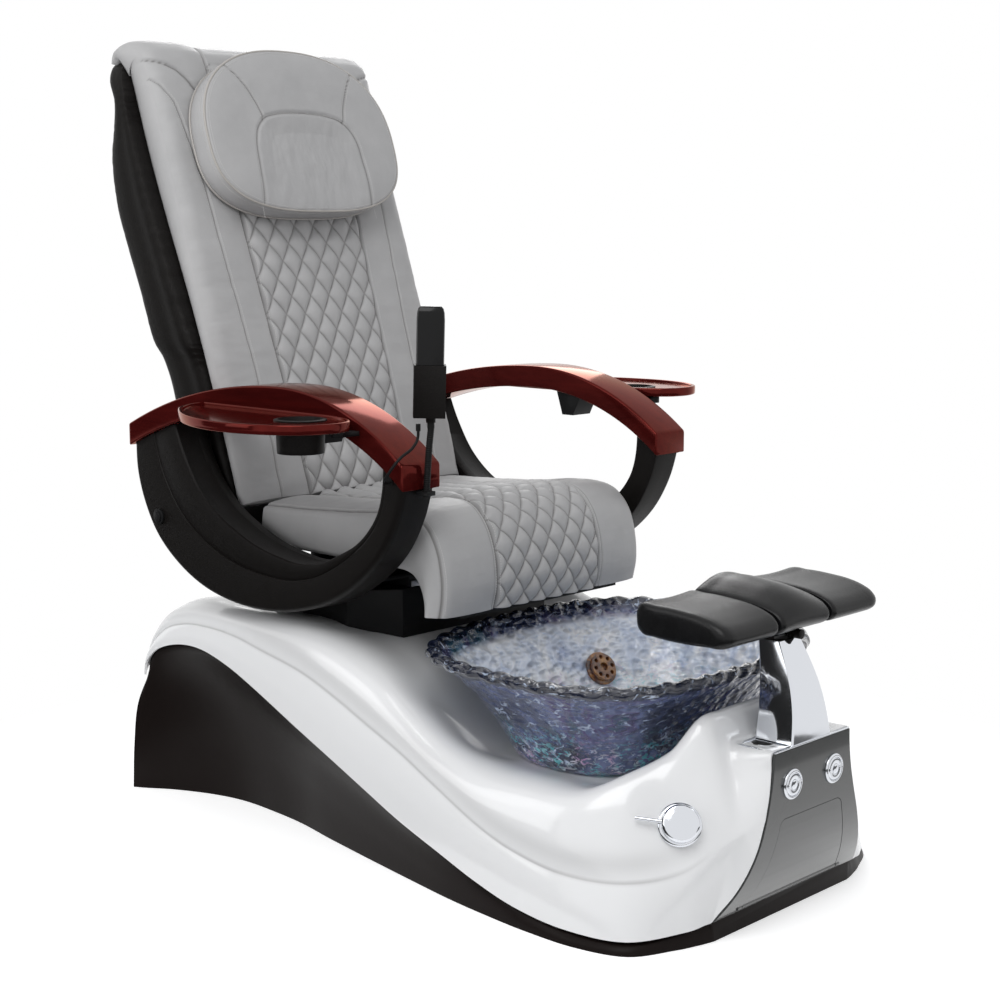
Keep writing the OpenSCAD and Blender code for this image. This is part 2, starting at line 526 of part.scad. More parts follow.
// columns across a cushion of half width w: place, height, stitch lattice
function pad_cols(w, q, drop) = let (border = [[w, -6 - drop, 0], [w - 6, 2 - drop * .6, 0],
        [w - 15, -1 - drop * .25, 0], [lerp(w, q, .5), 6, 0], [q + 11, 4, 0], [q + 4, -7, 0]])
    concat([for (c = border) [-c[0], c[1], 0]],
        [for (k = [0:panel_cols]) let (edge = k == 0 || k == panel_cols)
            [q * (k / panel_cols * 2 - 1), edge ? -2 : -1, edge ? 0 : k + 100]],
        reversed(border));
function pad_section(out, under, w, q, row, quilted, crown, drop) = let (n = unit(out - under))
    concat([for (c = pad_cols(w, q, drop)) let (h = c[1] + crown * (1 - c[0] * c[0] / w / w)
            + (c[2] > 0 && quilted && (c[2] + row) % 2 == 1 ? quilt_d : 0), p = out + n * h) [c[0], p[0], p[1]]],
        [let (p = lerp(out, under, .6)) [w + 1, p[0], p[1]], [w - 5, under[0], under[1]], [-w + 5, under[0], under[1]],
         let (p = lerp(out, under, .6)) [-w - 1, p[0], p[1]]]);
// quilted panels: each cell is split along the stitch that crosses it
function band_quilt(n, m, low) = [for (i = [0:n - 2], j = [0:m - 1])
    let (a = i * m + j, b = i * m + (j + 1) % m, s = (i + j) % 2 == low)
    each (s ? [[a, a + m, b + m], [a, b + m, b]] : [[a, a + m, b], [b, a + m, b + m]])];
module quilt_loft(rings, turned) {
    n = len(rings); m = len(rings[0]);
    f = concat(band_quilt(n, m, 0), [[for (j = [0:m - 1]) j]], [[for (j = [m - 1:-1:0]) (n - 1) * m + j]]);
    polyhedron([for (r = rings) each r], turned ? [for (q = f) reversed(q)] : f, convexity = 8);
}
seat_rows = 26;
module seat_cushion() {
    n = len(seat_outer) - 1;
    color(leather) quilt_loft([for (i = [0:seat_rows]) let (u = n * i / seat_rows)
        pad_section(along(seat_outer, u), along(seat_under, u), seat_w / 2, quilt_w / 2, i, i > 0 && i < seat_rows,
            along(seat_crown, u), along(seat_sides, u))], true);
}

// ---- arm frames and armrests ----
// the frame bends round between two lines (y, z), from the rear top round the bottom to the front top
arm_pairs = [[[476, 800], [592, 790]], [[463, 761], [590, 715]], [[437, 706], [586, 650]], [[397, 646], [563, 587]],
    [[345, 601], [522, 529]], [[286, 571], [455, 480]], [[225, 549], [375, 447]], [[165, 537], [280, 431]],
    [[105, 531], [180, 432]], [[50, 539], [88, 449]], [[0, 560], [10, 478]], [[-42, 582], [-60, 523]],
    [[-74, 610], [-110, 571]], [[-98, 643], [-144, 626]], [[-110, 680], [-163, 680]], [[-114, 725], [-169, 725]],
    [[-114, 800], [-170, 800]]];
// the outer face's edge is rounded off
arm_edge = [20, 18];
function arm_section(u) = let (pq = along(arm_pairs, u), p = pq[0], q = pq[1], d = unit(q - p), t = norm(q - p),
    h = arm_t / 2, x0 = arms_w / 2 - h, a = arm_edge[0], b = arm_edge[1])
    [for (s = [[0, -h + 6], [0, h - 6], [6, h], [t - a, h], [t - a * .5, h - b * .134],
        [t - a * .134, h - b * .5], [t, h - b], [t, -h + 4], [t - 4, -h], [8, -h]])
        let (e = p + d * s[0]) [x0 + s[1], e[0], e[1]]];
// the armrest's line: two arcs that meet at its highest point
rest_peak = 147.5; rest_rear_r = 1083; rest_front_r = 507;
function rest_top(y) = let (d = y - rest_peak, r = d > 0 ? rest_rear_r : rest_front_r)
    armrest_z - r + sqrt(r * r - d * d);
rest_y0 = -171.5; rest_y1 = 595.5;
module under_armrest() {
    // everything below the armrest's underside
    ys = [for (i = [0:24]) lerp(-300, 700, i / 24)];
    yz(200, 450) polygon(concat([[-300, 300]],
        [for (y = ys) [y, rest_top(min(max(y, -300), 650)) - armrest_t - .4]], [[700, 300]]));
}
module arm_frame() {
    n = 30;
    color(black) difference() {
        intersection() {
            loft(reversed([for (i = [0:n]) arm_section((len(arm_pairs) - 1) * i / n)]));
            under_armrest();
        }
        translate([0, pivot[0], pivot[1]]) along_x(pivot_r + .05, arm_in - 5, arms_w / 2 + 5);
    }
}
pivot = [512.5, 571]; pivot_r = 8;
module pivot_bolt() {
    color(black) translate([0, pivot[0], pivot[1]]) {
        along_x(pivot_r, arm_in - 6.5, arms_w / 2);
        along_x(15, arms_w / 2 + .02, arms_w / 2 + 4);
        along_x(10, arms_w / 2 + 4, arms_w / 2 + 7);
    }
}
rest_over = 7;
rest_x = arms_w / 2 + rest_over - armrest_w / 2;
module armrest() {
    c = 5; n = 26; w = armrest_w / 2;
    color(wood) loft([for (i = [0:n]) let (y = lerp(rest_y0, rest_y1, i / n), z = rest_top(y), b = z - armrest_t)
        [[rest_x - w, y, b + c], [rest_x - w, y, z - c], [rest_x - w + c, y, z], [rest_x + w - c, y, z],
         [rest_x + w, y, z - c], [rest_x + w, y, b + c], [rest_x + w - c, y, b], [rest_x - w + c, y, b]]]);
}

// ---- side trays ----
rest_side = rest_x + armrest_w / 2;
tray_in = rest_side + .6;
tray_axis = [tray_in + 40, -60]; tray_pin_r = 5;
cup_at = [tray_in + 62, 10];
tray_line = [[0, 2], [7, -34], [24, -70], [50, -98], [92, -107], [140, -88], [178, -38], [198, 30], [194, 110], [168, 192],
    [126, 264], [76, 322], [34, 349], [0, 354]];
// rim line moved in by d
function tray_edge(d) = let (n = len(tray_line) - 1, p = [for (i = [0:2 * n]) along(tray_line, i / 2)])
    [for (i = [0:2 * n]) let (a = p[max(i - 1, 0)], b = p[min(i + 1, 2 * n)], t = unit(b - a),
        m = i == 0 || i == 2 * n ? [d, i == 0 ? d : -d] : d * [-t[1], t[0]]) [tray_in, 0] + p[i] + m];
module tray() {
    color(wood) difference() {
        translate([0, 0, tray_z - tray_t]) linear_extrude(tray_t) polygon(tray_edge(0));
        translate([0, 0, tray_z - 5]) linear_extrude(10) polygon(tray_edge(8));
        translate([cup_at[0], cup_at[1], 0]) cylinder(d = cup_d + 8, h = 2000);
        translate([tray_axis[0], tray_axis[1], tray_z - tray_t - 1]) cylinder(r = tray_pin_r + pin_gap, h = 9);
    }
}
module cup() {
    r = cup_d / 2;
    color(black) translate([cup_at[0], cup_at[1], tray_z]) rotate_extrude() polygon([[0, -60], [r + 2, -60],
        [r + 3.6, -20], [r + 3.6, -4.98], [r + 7, -4.98], [r + 7, -3], [r, -2], [r, -57], [0, -57]]);
}
module tray_bracket() {
    z = tray_z - tray_t - 1;
    color(black) {
        yz(rest_x - 26, rest_x + 26) polygon(concat(
            [for (q = [[36, .6], [68, .35], [100, .6]]) [q[0], rest_top(q[0]) - armrest_t - q[1]]],
            [[84, z - 38], [56, z - 38]]));
        box([rest_x, 58, z - 12], [tray_in + 18, 82, z - 4]);
        box([tray_in + 1, tray_axis[1] - 10, z - 12], [tray_in + 18, 60, z - 4]);
        box([tray_in + 1, tray_axis[1] - 10, z - 12], [tray_axis[0], tray_axis[1] + 10, z - 4]);
        translate([tray_axis[0], tray_axis[1], z - 12]) {
            cylinder(r = 12, h = 12.6);
            cylinder(r = tray_pin_r, h = 20);
        }
    }
}

// ---- backrest ----
tan_lean = tan(back_lean);
function face_y(z) = 527.5 + tan_lean * (z - 1150);
kt = back_t / 78;
function behind(z, t) = [face_y(z), z] + [cos(back_lean), -sin(back_lean)] * t * kt;
back_z0 = 604; face_n = [-cos(back_lean), sin(back_lean)]; face_dir = [sin(back_lean), cos(back_lean)];
back_zs = [for (i = [0:6]) lerp(back_z0, 1428, i / 6)];
back_outer = concat([for (z = back_zs) [face_y(z) + (z == back_z0 ? 8 : 0), z]],
    [[650, 1463], [690, 1472], [723, 1464], [733, 1440]]);
back_foot = [600, 38];
back_depths = [38, 38, 40, 48, 60, 68, 66];
back_under = concat([for (i = [0:6]) behind(back_zs[i], back_depths[i])],
    [[686, 1410], [699, 1432], [709, 1440], [718, 1431]]);
back_us = concat([for (i = [0:24]) i / 4], [for (i = [1:8]) 6 + i / 2]);
module back_cushion() {
    color(leather) quilt_loft([for (i = [0:len(back_us) - 1]) let (u = back_us[i])
        pad_section(along(back_outer, u), along(back_under, u),
            back_w / 2 + 13 * pow(max(0, min(1, (u - 5) / 3)), 1.5),
            lerp(quilt_w / 2 - 4, quilt_w / 2 + 16, min(1, u / 4)), i, i > 0 && u < 6,
            u < 6 ? 6 : 6 - 6 * min(1, (u - 6) / 3), 0)], false);
}
// rear line of the shell: y, z, half width where the arm frames stand shell_arm_in from the middle
shell_arm_in = 298;
shell_rear = [[518, 506, 270], [552, 530, 284], [562, 620, 288], [570, 720, 288], [584, 800, 288], [606, 862, 293],
    [626, 905, 305], [655, 995, 309], [697, 1090, 309], [725, 1165, 309], [735, 1250, 309], [723, 1320, 308], [721, 1362, 307], [738, 1400, 304], [738.5, 1424, 296]];
function under_y(z, u) = u < 0 ? 0 : let (p = along(back_under, u)) p[1] >= z || u >= 7.4 ? p[0] : under_y(z, u + .1);
function shell_section(k) = let (r = shell_rear[k], y1 = r[0], z = r[1], w = r[2] + arm_in - shell_arm_in,
    y0 = (z < back_foot[0] ? behind(back_foot[0], back_foot[1])[0] : under_y(z, 0)) + 3, d = y1 - y0)
    [[-w + 9, y0, z], [-w, y0 + 8, z], [-w, y0 + d * .72, z], [-w + 5, y0 + d * .93, z], [-w + 18, y1, z], [-w * .5, y1 + 1, z],
     [w * .5, y1 + 1, z], [w - 18, y1, z], [w - 5, y0 + d * .93, z], [w, y0 + d * .72, z],
     [w, y0 + 8, z], [w - 9, y0, z]];
module back_shell() {
    n = len(shell_rear) - 1;
    color(black) difference() {
        loft(reversed([for (k = [0:n]) shell_section(k)]));
        both_sides() box([arm_in - 13, pivot[0] - 70, 400], [400, pivot[0] + 70, 690]);
    }
}
module back_hinges() {
    color(black) both_sides() difference() {
        union() {
            translate([0, pivot[0], pivot[1]]) along_x(26, arm_in - 12.95, arm_in - .6);
            box([arm_in - 12.95, pivot[0] - 22, pivot[1]], [arm_in - 4, pivot[0] + 18, 680]);
        }
        translate([0, pivot[0], pivot[1]]) along_x(pivot_r + pin_gap, 200, 400);
    }
}
// pillow: an oval cushion on the face, hung from a strip at its top edge
pillow_z0 = 1127; pillow_off = 13.3; pillow_m = 36;
function pillow_at(x, s, h) =
    let (b = [face_y(pillow_z0), pillow_z0] + face_dir * s + face_n * (pillow_off + h)) [x, b[0], b[1]];
function pillow_loop(d, h) = [for (j = [0:pillow_m - 1]) let (a = 360 * j / pillow_m, up = sin(a) > 0,
    q = oval(a, pillow_w / 2 - d, pillow_h * (up ? .56 : .44) - d, up ? 2.35 : 2.9))
    pillow_at(q[0], pillow_h * .44 + q[1], h)];
module pillow() {
    t = pillow_t;
    color(leather) loft(concat([pillow_loop(16, 0), pillow_loop(5, 4)], [for (q = [[0, .3], [1, .58], [5, .74],
        [4, .8], [9, .83], [14, .82], [30, .9], [56, .96], [88, 1]]) pillow_loop(q[0], t * q[1])]));
}
module pillow_flap() {
    a = pillow_at(0, pillow_h - 22, -pillow_off + 8.8); b = pillow_at(0, pillow_h - 2, -pillow_off + 8.8);
    c = pillow_at(0, pillow_h - 2, -pillow_off + 6.2); d = pillow_at(0, pillow_h - 22, -pillow_off + 6.2);
    color(leather) yz(-60, 60) polygon([for (p = [a, b, c, d]) [p[1], p[2]]]);
}

// ---- handset on its gooseneck ----
neck_foot = [-330, rest_y0 - 9.5, 676]; neck_top = [-326, rest_y0 - 16, 800]; neck_r = 6;
neck_clip_y = -164.4;
neck_pts = [neck_foot, neck_foot + [0, 0, 12], [-330, rest_y0 - 12, 720], [-329, rest_y0 - 15, 760],
    neck_top - [0, 0, 12], neck_top];
ribs = 24;
function ring_at(c, r, m) = [for (j = [0:m - 1]) c + r * [cos(360 * j / m), sin(360 * j / m), 0]];
module gooseneck() {
    n = len(neck_pts) - 1;
    us = concat([0, .5], [for (i = [0:2 * ribs]) lerp(1, n - 1, i / (2 * ribs))], [n - .5, n]);
    color(black) loft([for (i = [0:len(us) - 1]) ring_at(along(neck_pts, us[i]), i % 2 == 0 ? neck_r : neck_r - .9, 8)]);
}
// the clip screws to the front of the arm frame
module neck_clip() {
    color(black) difference() {
        box(neck_foot + [-10, -11, 2], [neck_foot[0] + 10, neck_clip_y, neck_foot[2] + 9.5]);
        translate(neck_foot) cylinder(r = neck_r + pin_gap, h = 40);
    }
}
hand_at = [-330, rest_y0 - 16, 812]; hand_az = 48; hand_lean = [6, 0, 0];
module at_hand() { translate(hand_at) rotate([3, -1, 0]) rotate(hand_az - 90) children(); }
hand_w = 46; hand_t = 21;
function hand_loop(e, z) = let (a = hand_w / 2 + e, b = hand_t / 2 + e)
    [for (q = [[1, -.55], [1, .55], [.93, .85], [.72, 1], [0, 1], [-.72, 1], [-.93, .85], [-1, .55],
        [-1, -.55], [-.93, -.85], [-.72, -1], [0, -1], [.72, -1], [.93, -.85]]) [q[0] * a, q[1] * b, z]];
// local frame of the handset: keys face +Y, length along +Z
module remote() {
    color(black) at_hand() translate([0, 0, 4]) difference() {
        loft([for (q = [[0, -5], [1, -2.5], [4, -.8], [12, 0], [remote_l * .5, 0], [remote_l - 22, 0],
            [remote_l - 10, -.8], [remote_l - 4, -2.4], [remote_l, -6]]) hand_loop(q[1], q[0])]);
        for (k = [0:3]) translate([0, hand_t / 2 - 2, key_z(k)]) rotate([-90, 0, 0])
            cylinder(r = key_r + gap, h = 10);
    }
}
key_r = 5; key_travel = .8;
function key_z(k) = 96 + 18 * k;
module remote_key(k) {
    color(grey) at_hand() translate([0, hand_t / 2 - 2 + .1 + key_travel, 4 + key_z(k)]) rotate([-90, 0, 0])
        cylinder(r = key_r, h = 2.2);
}
module remote_holder() {
    color(black) at_hand() {
        difference() {
            box([-hand_w / 2 - 3.4, -hand_t / 2 - 3.4, -3], [hand_w / 2 + 3.4, hand_t / 2 + 3.4, 84]);
            box([-hand_w / 2 - .4, -hand_t / 2 - .4, 3.6], [hand_w / 2 + .4, hand_t / 2 + .4, 100]);
        }
    }
    color(black) translate([neck_top[0], neck_top[1], neck_top[2] + .05]) cylinder(r = 8, h = 10);
}

// ---- handset cable: route points chosen by hand ----
cable_r = 2.5;
cable_pts = [[-340, -172, 786], [-340, -172, 780], [-344, -172, 768], [-357, -172, 756], [-377, -171, 746],
    [-391, -166, 731], [-396, -156, 715], [-392, -144, 703], [-384, -138, 700], [-377, -138, 700], [-372, -138, 700]];
function tube_frame(i, p) = unit(p[min(i + 1, len(p) - 1)] - p[max(i - 1, 0)]);
function tube_ring(c, d, r, m) = let (s = unit(cross(d, [.3, .9, .1])), t = cross(d, s))
    [for (j = [0:m - 1]) c + r * (cos(360 * j / m) * s + sin(360 * j / m) * t)];
module remote_cable() {
    n = (len(cable_pts) - 1) * 3;
    last = len(cable_pts) - 1;
    p = [for (i = [0:n]) i < 3 ? lerp(cable_pts[0], cable_pts[1], i / 3)
        : i > n - 3 ? lerp(cable_pts[last - 1], cable_pts[last], (i - n + 3) / 3) : along(cable_pts, i / 3)];
    color(black) loft([for (i = [0:n]) tube_ring(p[i], tube_frame(i, p), cable_r, 8)]);
}
module cable_relief() {
    color(black) translate(cable_pts[0] + [0, 0, .02]) { cylinder(r = 4, h = 12); }
}
module cable_gland() {
    e = cable_pts[len(cable_pts) - 1];
    color(black) translate(e + [.02, 0, 0]) rotate([0, 90, 0]) cylinder(r = 5, h = 1.9);
}

floor_plate();
black_body();
white_shell();
front_fascia();
service_door();
door_pin();
top_plate();
plate_slot();
footrest_tower();
footrest_bracket();
footrest_pin();
tilt_knob();
footrest_carrier();
footrest_pad(-pads_w / 2, -pad_split - pad_gap / 2);  // footrest_pad_right
footrest_pad(-pad_split + pad_gap / 2, pad_split - pad_gap / 2);  // footrest_pad_middle
footrest_pad(pad_split + pad_gap / 2, pads_w / 2);  // footrest_pad_left
bowl();
bowl_drain();
jet_cover();
valve_body();
valve_knob();
button_bezel(-1);  // button_bezel_right
button_bezel(1);  // button_bezel_left
button(-1);  // button_right
button(1);  // button_left
pedestal();
slide_rails();
slide_actuator();
slide_rod();
seat_frame();
seat_pan();
seat_cushion();
mirror([1, 0, 0]) arm_frame();  // arm_frame_right
arm_frame();  // arm_frame_left
mirror([1, 0, 0]) armrest();  // armrest_right
armrest();  // armrest_left
mirror([1, 0, 0]) pivot_bolt();  // pivot_bolt_right
pivot_bolt();  // pivot_bolt_left
mirror([1, 0, 0]) tray_bracket();  // tray_bracket_right
tray_bracket();  // tray_bracket_left
mirror([1, 0, 0]) tray();  // tray_right
tray();  // tray_left
mirror([1, 0, 0]) cup();  // cup_right
cup();  // cup_left
back_shell();
back_hinges();
back_cushion();
pillow_flap();
pillow();
neck_clip();
gooseneck();
remote_holder();
remote();
remote_key(0);  // remote_key_1
remote_key(1);  // remote_key_2
remote_key(2);  // remote_key_3
remote_key(3);  // remote_key_4
cable_relief();
remote_cable();
cable_gland();
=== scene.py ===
"""Looks of the pedicure spa chair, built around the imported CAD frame. Lengths below are in millimetres
in the frame's axes (X across, -Y forward, +Z up) and become metres when a mesh is made."""
import json
import math

import bmesh
import bpy
import numpy as np
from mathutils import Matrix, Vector, noise


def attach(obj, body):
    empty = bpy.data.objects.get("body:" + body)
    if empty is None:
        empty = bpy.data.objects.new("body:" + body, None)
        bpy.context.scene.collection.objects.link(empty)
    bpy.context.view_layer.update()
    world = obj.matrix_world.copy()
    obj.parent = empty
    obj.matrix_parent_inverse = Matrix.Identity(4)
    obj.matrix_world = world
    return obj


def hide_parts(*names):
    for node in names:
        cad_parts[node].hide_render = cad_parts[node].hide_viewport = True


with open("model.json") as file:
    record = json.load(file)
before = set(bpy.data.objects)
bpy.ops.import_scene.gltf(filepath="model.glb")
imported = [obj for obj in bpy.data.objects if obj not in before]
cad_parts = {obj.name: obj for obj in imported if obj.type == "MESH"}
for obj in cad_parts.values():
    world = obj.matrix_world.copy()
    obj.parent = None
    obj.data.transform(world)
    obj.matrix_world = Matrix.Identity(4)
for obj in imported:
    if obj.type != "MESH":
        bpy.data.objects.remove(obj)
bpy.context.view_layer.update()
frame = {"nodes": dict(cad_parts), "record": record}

MM = 0.001
NODES = frame["nodes"]


# ---------- curves and meshes ----------
def along(points, u):
    """Catmull-Rom value of a list of points at u, from 0 to len - 1, as the CAD lofts use it."""
    p = np.asarray(points, float)
    n = len(p) - 1
    i = int(max(0, min(math.floor(u), n - 1)))
    t = u - i
    a, b, c, d = p[max(i - 1, 0)], p[i], p[i + 1], p[min(i + 2, n)]
    return 0.5 * (2 * b + (c - a) * t + (2 * a - 5 * b + 4 * c - d) * t ** 2
                  + (3 * b - a - 3 * c + d) * t ** 3)


def through(points, count, closed=False):
    """count points on a smooth curve through the given ones, spaced by arc length; it doesn't overshoot."""
    p = np.asarray(points, float)
    if closed:
        p = np.vstack([p[-2:], p, p[:3]])
    step = np.maximum(np.linalg.norm(np.diff(p, axis=0), axis=1), 1e-6)
    s = np.concatenate([[0], np.cumsum(step)])
    slope = np.diff(p, axis=0) / step[:, None]
    tangent = np.vstack([slope[:1], (slope[:-1] * step[1:, None] + slope[1:] * step[:-1, None])
                         / (step[:-1] + step[1:])[:, None], slope[-1:]])
    lo, hi = (s[2], s[len(s) - 3]) if closed else (0, s[-1])
    at = np.linspace(lo, hi, count + 1)[:-1] if closed else np.linspace(lo, hi, count)
    i = np.clip(np.searchsorted(s, at, side="right") - 1, 0, len(step) - 1)
    h, t = step[i][:, None], ((at - s[i]) / step[i])[:, None]
    return ((2 * t ** 3 - 3 * t ** 2 + 1) * p[i] + (t ** 3 - 2 * t ** 2 + t) * h * tangent[i]
            + (3 * t ** 2 - 2 * t ** 3) * p[i + 1] + (t ** 3 - t ** 2) * h * tangent[i + 1])


def add_object(name, data):
    obj = bpy.data.objects.new(name, data)
    bpy.context.scene.collection.objects.link(obj)
    return obj


def piece(name, verts, faces, material, body, replaced=()):
    """A mesh object from points in millimetres, riding on a body."""
    mesh = bpy.data.meshes.new(name)
    mesh.from_pydata((np.asarray(verts, float) * MM).tolist(), [], [list(map(int, f)) for f in faces])
    mesh.validate()
    mesh.update()
    mesh.polygons.foreach_set("use_smooth", [True] * len(mesh.polygons))
    obj = add_object(name, mesh)
    mesh.materials.append(material)
    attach(obj, body)
    if replaced:
        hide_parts(*replaced)
    return obj


def grid_faces(rows, cols, wrap=False):
    """Quads of a grid of rows x cols points; wrap joins the last column to the first."""
    last = cols if wrap else cols - 1
    return [(i * cols + j, (i + 1) * cols + j, (i + 1) * cols + (j + 1) % cols, i * cols + (j + 1) % cols)
            for i in range(rows - 1) for j in range(last)]


def loft(name, rings, material, body, replaced=()):
    """A closed tube through rings of equal counts, its ends filled."""
    rings = np.asarray(rings, float)
    n, m = rings.shape[:2]
    faces = grid_faces(n, m, wrap=True)
    faces += [tuple(range(m)), tuple((n - 1) * m + j for j in reversed(range(m)))]
    obj = piece(name, rings.reshape(-1, 3), faces, material, body, replaced)
    face_outward(obj)
    return obj


def face_outward(obj):
    b = bmesh.new()
    b.from_mesh(obj.data)
    bmesh.ops.recalc_face_normals(b, faces=b.faces)
    b.to_mesh(obj.data)
    b.free()


def smooth_by_angle(obj, degrees):
    """Shades across edges flatter than the angle and keeps the others crisp."""
    b = bmesh.new()
    b.from_mesh(obj.data)
    limit = math.radians(degrees)
    for e in b.edges:
        e.smooth = len(e.link_faces) == 2 and e.calc_face_angle(0) < limit
    b.to_mesh(obj.data)
    b.free()


def mark_points(obj, name, values):
    """A number at each point of the mesh, for its material to read."""
    layer = obj.data.attributes.new(name, "FLOAT", "POINT")
    layer.data.foreach_set("value", np.asarray(values, np.float32).ravel())


def cut_box(obj, xs, ys, zs):
    """Cuts a box between two values on each axis out of the piece."""
    mesh = bpy.data.meshes.new("cutter")
    corners = [(x * MM, y * MM, z * MM) for z in zs for y in ys for x in xs]
    mesh.from_pydata(corners, [], [(0, 1, 3, 2), (4, 6, 7, 5), (0, 4, 5, 1), (2, 3, 7, 6), (0, 2, 6, 4),
                                   (1, 5, 7, 3)])
    apply_difference(obj, add_object("cutter", mesh))


def apply_difference(obj, cutter):
    """Cuts the cutter out of the piece and removes it."""
    face_outward(cutter)
    cut = obj.modifiers.new("cut", "BOOLEAN")
    cut.operation, cut.object, cut.solver = "DIFFERENCE", cutter, "EXACT"
    dg = bpy.context.evaluated_depsgraph_get()
    mesh = bpy.data.meshes.new_from_object(obj.evaluated_get(dg))
    obj.modifiers.clear()
    obj.data = mesh
    bpy.data.objects.remove(cutter)


def bevel(obj, width, segments, angle):
    m = obj.modifiers.new("bevel", "BEVEL")
    m.width, m.segments, m.limit_method, m.angle_limit = width * MM, segments, "ANGLE", math.radians(angle)
    m.harden_normals = True
    m.miter_outer = "MITER_ARC"
    return m


def lerp(a, b, t):
    return a + (b - a) * t


def circle(count):
    """Angles of count points around a circle."""
    return np.linspace(0, 2 * math.pi, count + 1)[:-1]


def clamp(v):
    return max(0, min(1, v))


def unit(v):
    return v / max(np.linalg.norm(v), 1e-9)


def fbm(p, scale):
    """Soft noise from -1 to 1 at a point in millimetres, for a feature size in millimetres."""
    fall, lacunarity, octaves = 1.0, 2.0, 3
    return noise.fractal(Vector(np.asarray(p, float) / scale), fall, lacunarity, octaves)


def aim(obj, place, target):
    """Puts the object at a place and turns its -Z axis to the target."""
    obj.location = place
    obj.rotation_mode = "QUATERNION"
    obj.rotation_quaternion = (Vector(target) - Vector(place)).to_track_quat("-Z", "Y")


# ---------- materials ----------
def principled(name, colour, stretch=(1, 1, 1), **sockets):
    """A material with its tree, its shader and object coordinates, stretched for its textures."""
    m = bpy.data.materials.new(name)
    m.use_nodes = True
    b = m.node_tree.nodes["Principled BSDF"]
    b.inputs["Base Color"].default_value = (*colour, 1)
    for key, value in sockets.items():
        b.inputs[key.replace("_", " ").title().replace("Ior", "IOR")].default_value = value
    return m, m.node_tree, b, object_coords(m.node_tree, stretch)


def node(tree, kind, **values):
    n = tree.nodes.new(kind)
    for key, value in values.items():
        if key in n.inputs:
            n.inputs[key].default_value = value
        else:
            setattr(n, key, value)
    return n


def object_coords(tree, scale):
    """Object coordinates in metres, scaled for a texture."""
    t = tree.nodes.new("ShaderNodeTexCoord")
    m = node(tree, "ShaderNodeMapping", Scale=scale)
    tree.links.new(t.outputs["Object"], m.inputs["Vector"])
    return m.outputs["Vector"]


def remap(tree, value, **ends):
    """A value carried to another range; ends name the sockets, as in to_min."""
    n = node(tree, "ShaderNodeMapRange", **{key.replace("_", " ").title(): end for key, end in ends.items()})
    tree.links.new(value, n.inputs["Value"])
    return n.outputs["Result"]


def attribute(tree, name):
    return node(tree, "ShaderNodeAttribute", attribute_name=name).outputs["Fac"]


def blend(tree, fac, low, high):
    """A colour between two, which are colours or sockets."""
    n = node(tree, "ShaderNodeMix", data_type="RGBA")
    tree.links.new(fac, n.inputs["Factor"])
    for key, value in (("A", low), ("B", high)):
        if isinstance(value, tuple):
            n.inputs[key].default_value = (*value, 1)
        else:
            tree.links.new(value, n.inputs[key])
    return n.outputs["Result"]


def ramp(tree, fac, stops):
    r = tree.nodes.new("ShaderNodeValToRGB")
    while len(r.color_ramp.elements) < len(stops):
        r.color_ramp.elements.new(0.5)
    for e, (at, colour) in zip(r.color_ramp.elements, stops):
        e.position, e.color = at, (*colour, 1)
    tree.links.new(fac, r.inputs["Fac"])
    return r.outputs["Color"]


def noise_tex(tree, vector, scale, detail=3.0, rough=0.5, distortion=0.0):
    n = node(tree, "ShaderNodeTexNoise", Scale=scale, Detail=detail, Roughness=rough, Distortion=distortion)
    tree.links.new(vector, n.inputs["Vector"])
    return n.outputs["Fac"]


def voronoi(tree, vector, scale, feature="F1", smooth=None):
    n = node(tree, "ShaderNodeTexVoronoi", Scale=scale, feature=feature)
    if smooth is not None:
        n.inputs["Smoothness"].default_value = smooth
    tree.links.new(vector, n.inputs["Vector"])
    return n.outputs["Distance"]


def bump(tree, bsdf, *layers):
    """Stacks bump layers (height, strength, distance in metres) and feeds the shader's normal."""
    normal = None
    for height, strength, distance in layers:
        b = node(tree, "ShaderNodeBump", Strength=strength, Distance=distance)
        tree.links.new(height, b.inputs["Height"])
        if normal is not None:
            tree.links.new(normal, b.inputs["Normal"])
        normal = b.outputs["Normal"]
    tree.links.new(normal, bsdf.inputs["Normal"])


def tinted(tree, bsdf, fac, low, high):
    """Base colour that drifts between two colours."""
    tree.links.new(ramp(tree, fac, [(0.3, low), (0.7, high)]), bsdf.inputs["Base Color"])


def leather_material():
    """Grained grey leather; the attribute "seam" paints shade into the stitched valleys of the seams and the
    quilting.
    """
    m, t, b, v = principled("grey_leather", (0.46, 0.45, 0.44), roughness=0.46, specular_ior_level=0.4)
    base = ramp(t, noise_tex(t, v, 9, 4, 0.6), [(0.3, (0.395, 0.393, 0.395)), (0.7, (0.445, 0.442, 0.443))])
    # painted shade: the "seam" attribute darkens the leather toward (0.15, 0.143, 0.138) in the valleys of
    # seams and quilting
    t.links.new(blend(t, attribute(t, "seam"), base, (0.15, 0.143, 0.138)), b.inputs["Base Color"])
    t.links.new(remap(t, noise_tex(t, v, 30, 3, 0.6), to_min=0.38, to_max=0.55), b.inputs["Roughness"])
    bump(t, b, (noise_tex(t, v, 28, 3, 0.5), 0.25, 0.004),
         (voronoi(t, v, 520, "DISTANCE_TO_EDGE"), 0.35, 0.0004), (noise_tex(t, v, 1500, 2, 0.5), 0.2, 0.0003))
    return m


def thread_material():
    m, t, b, v = principled("grey_thread", (0.6, 0.59, 0.58), roughness=0.7, sheen_weight=0.3)
    bump(t, b, (noise_tex(t, v, 2500, 1), 0.4, 0.0002))
    return m


def piping_material():
    m, t, b, v = principled("piping_leather", (0.42, 0.4, 0.375), roughness=0.5, specular_ior_level=0.4)
    bump(t, b, (voronoi(t, v, 520, "DISTANCE_TO_EDGE"), 0.3, 0.0004))
    return m


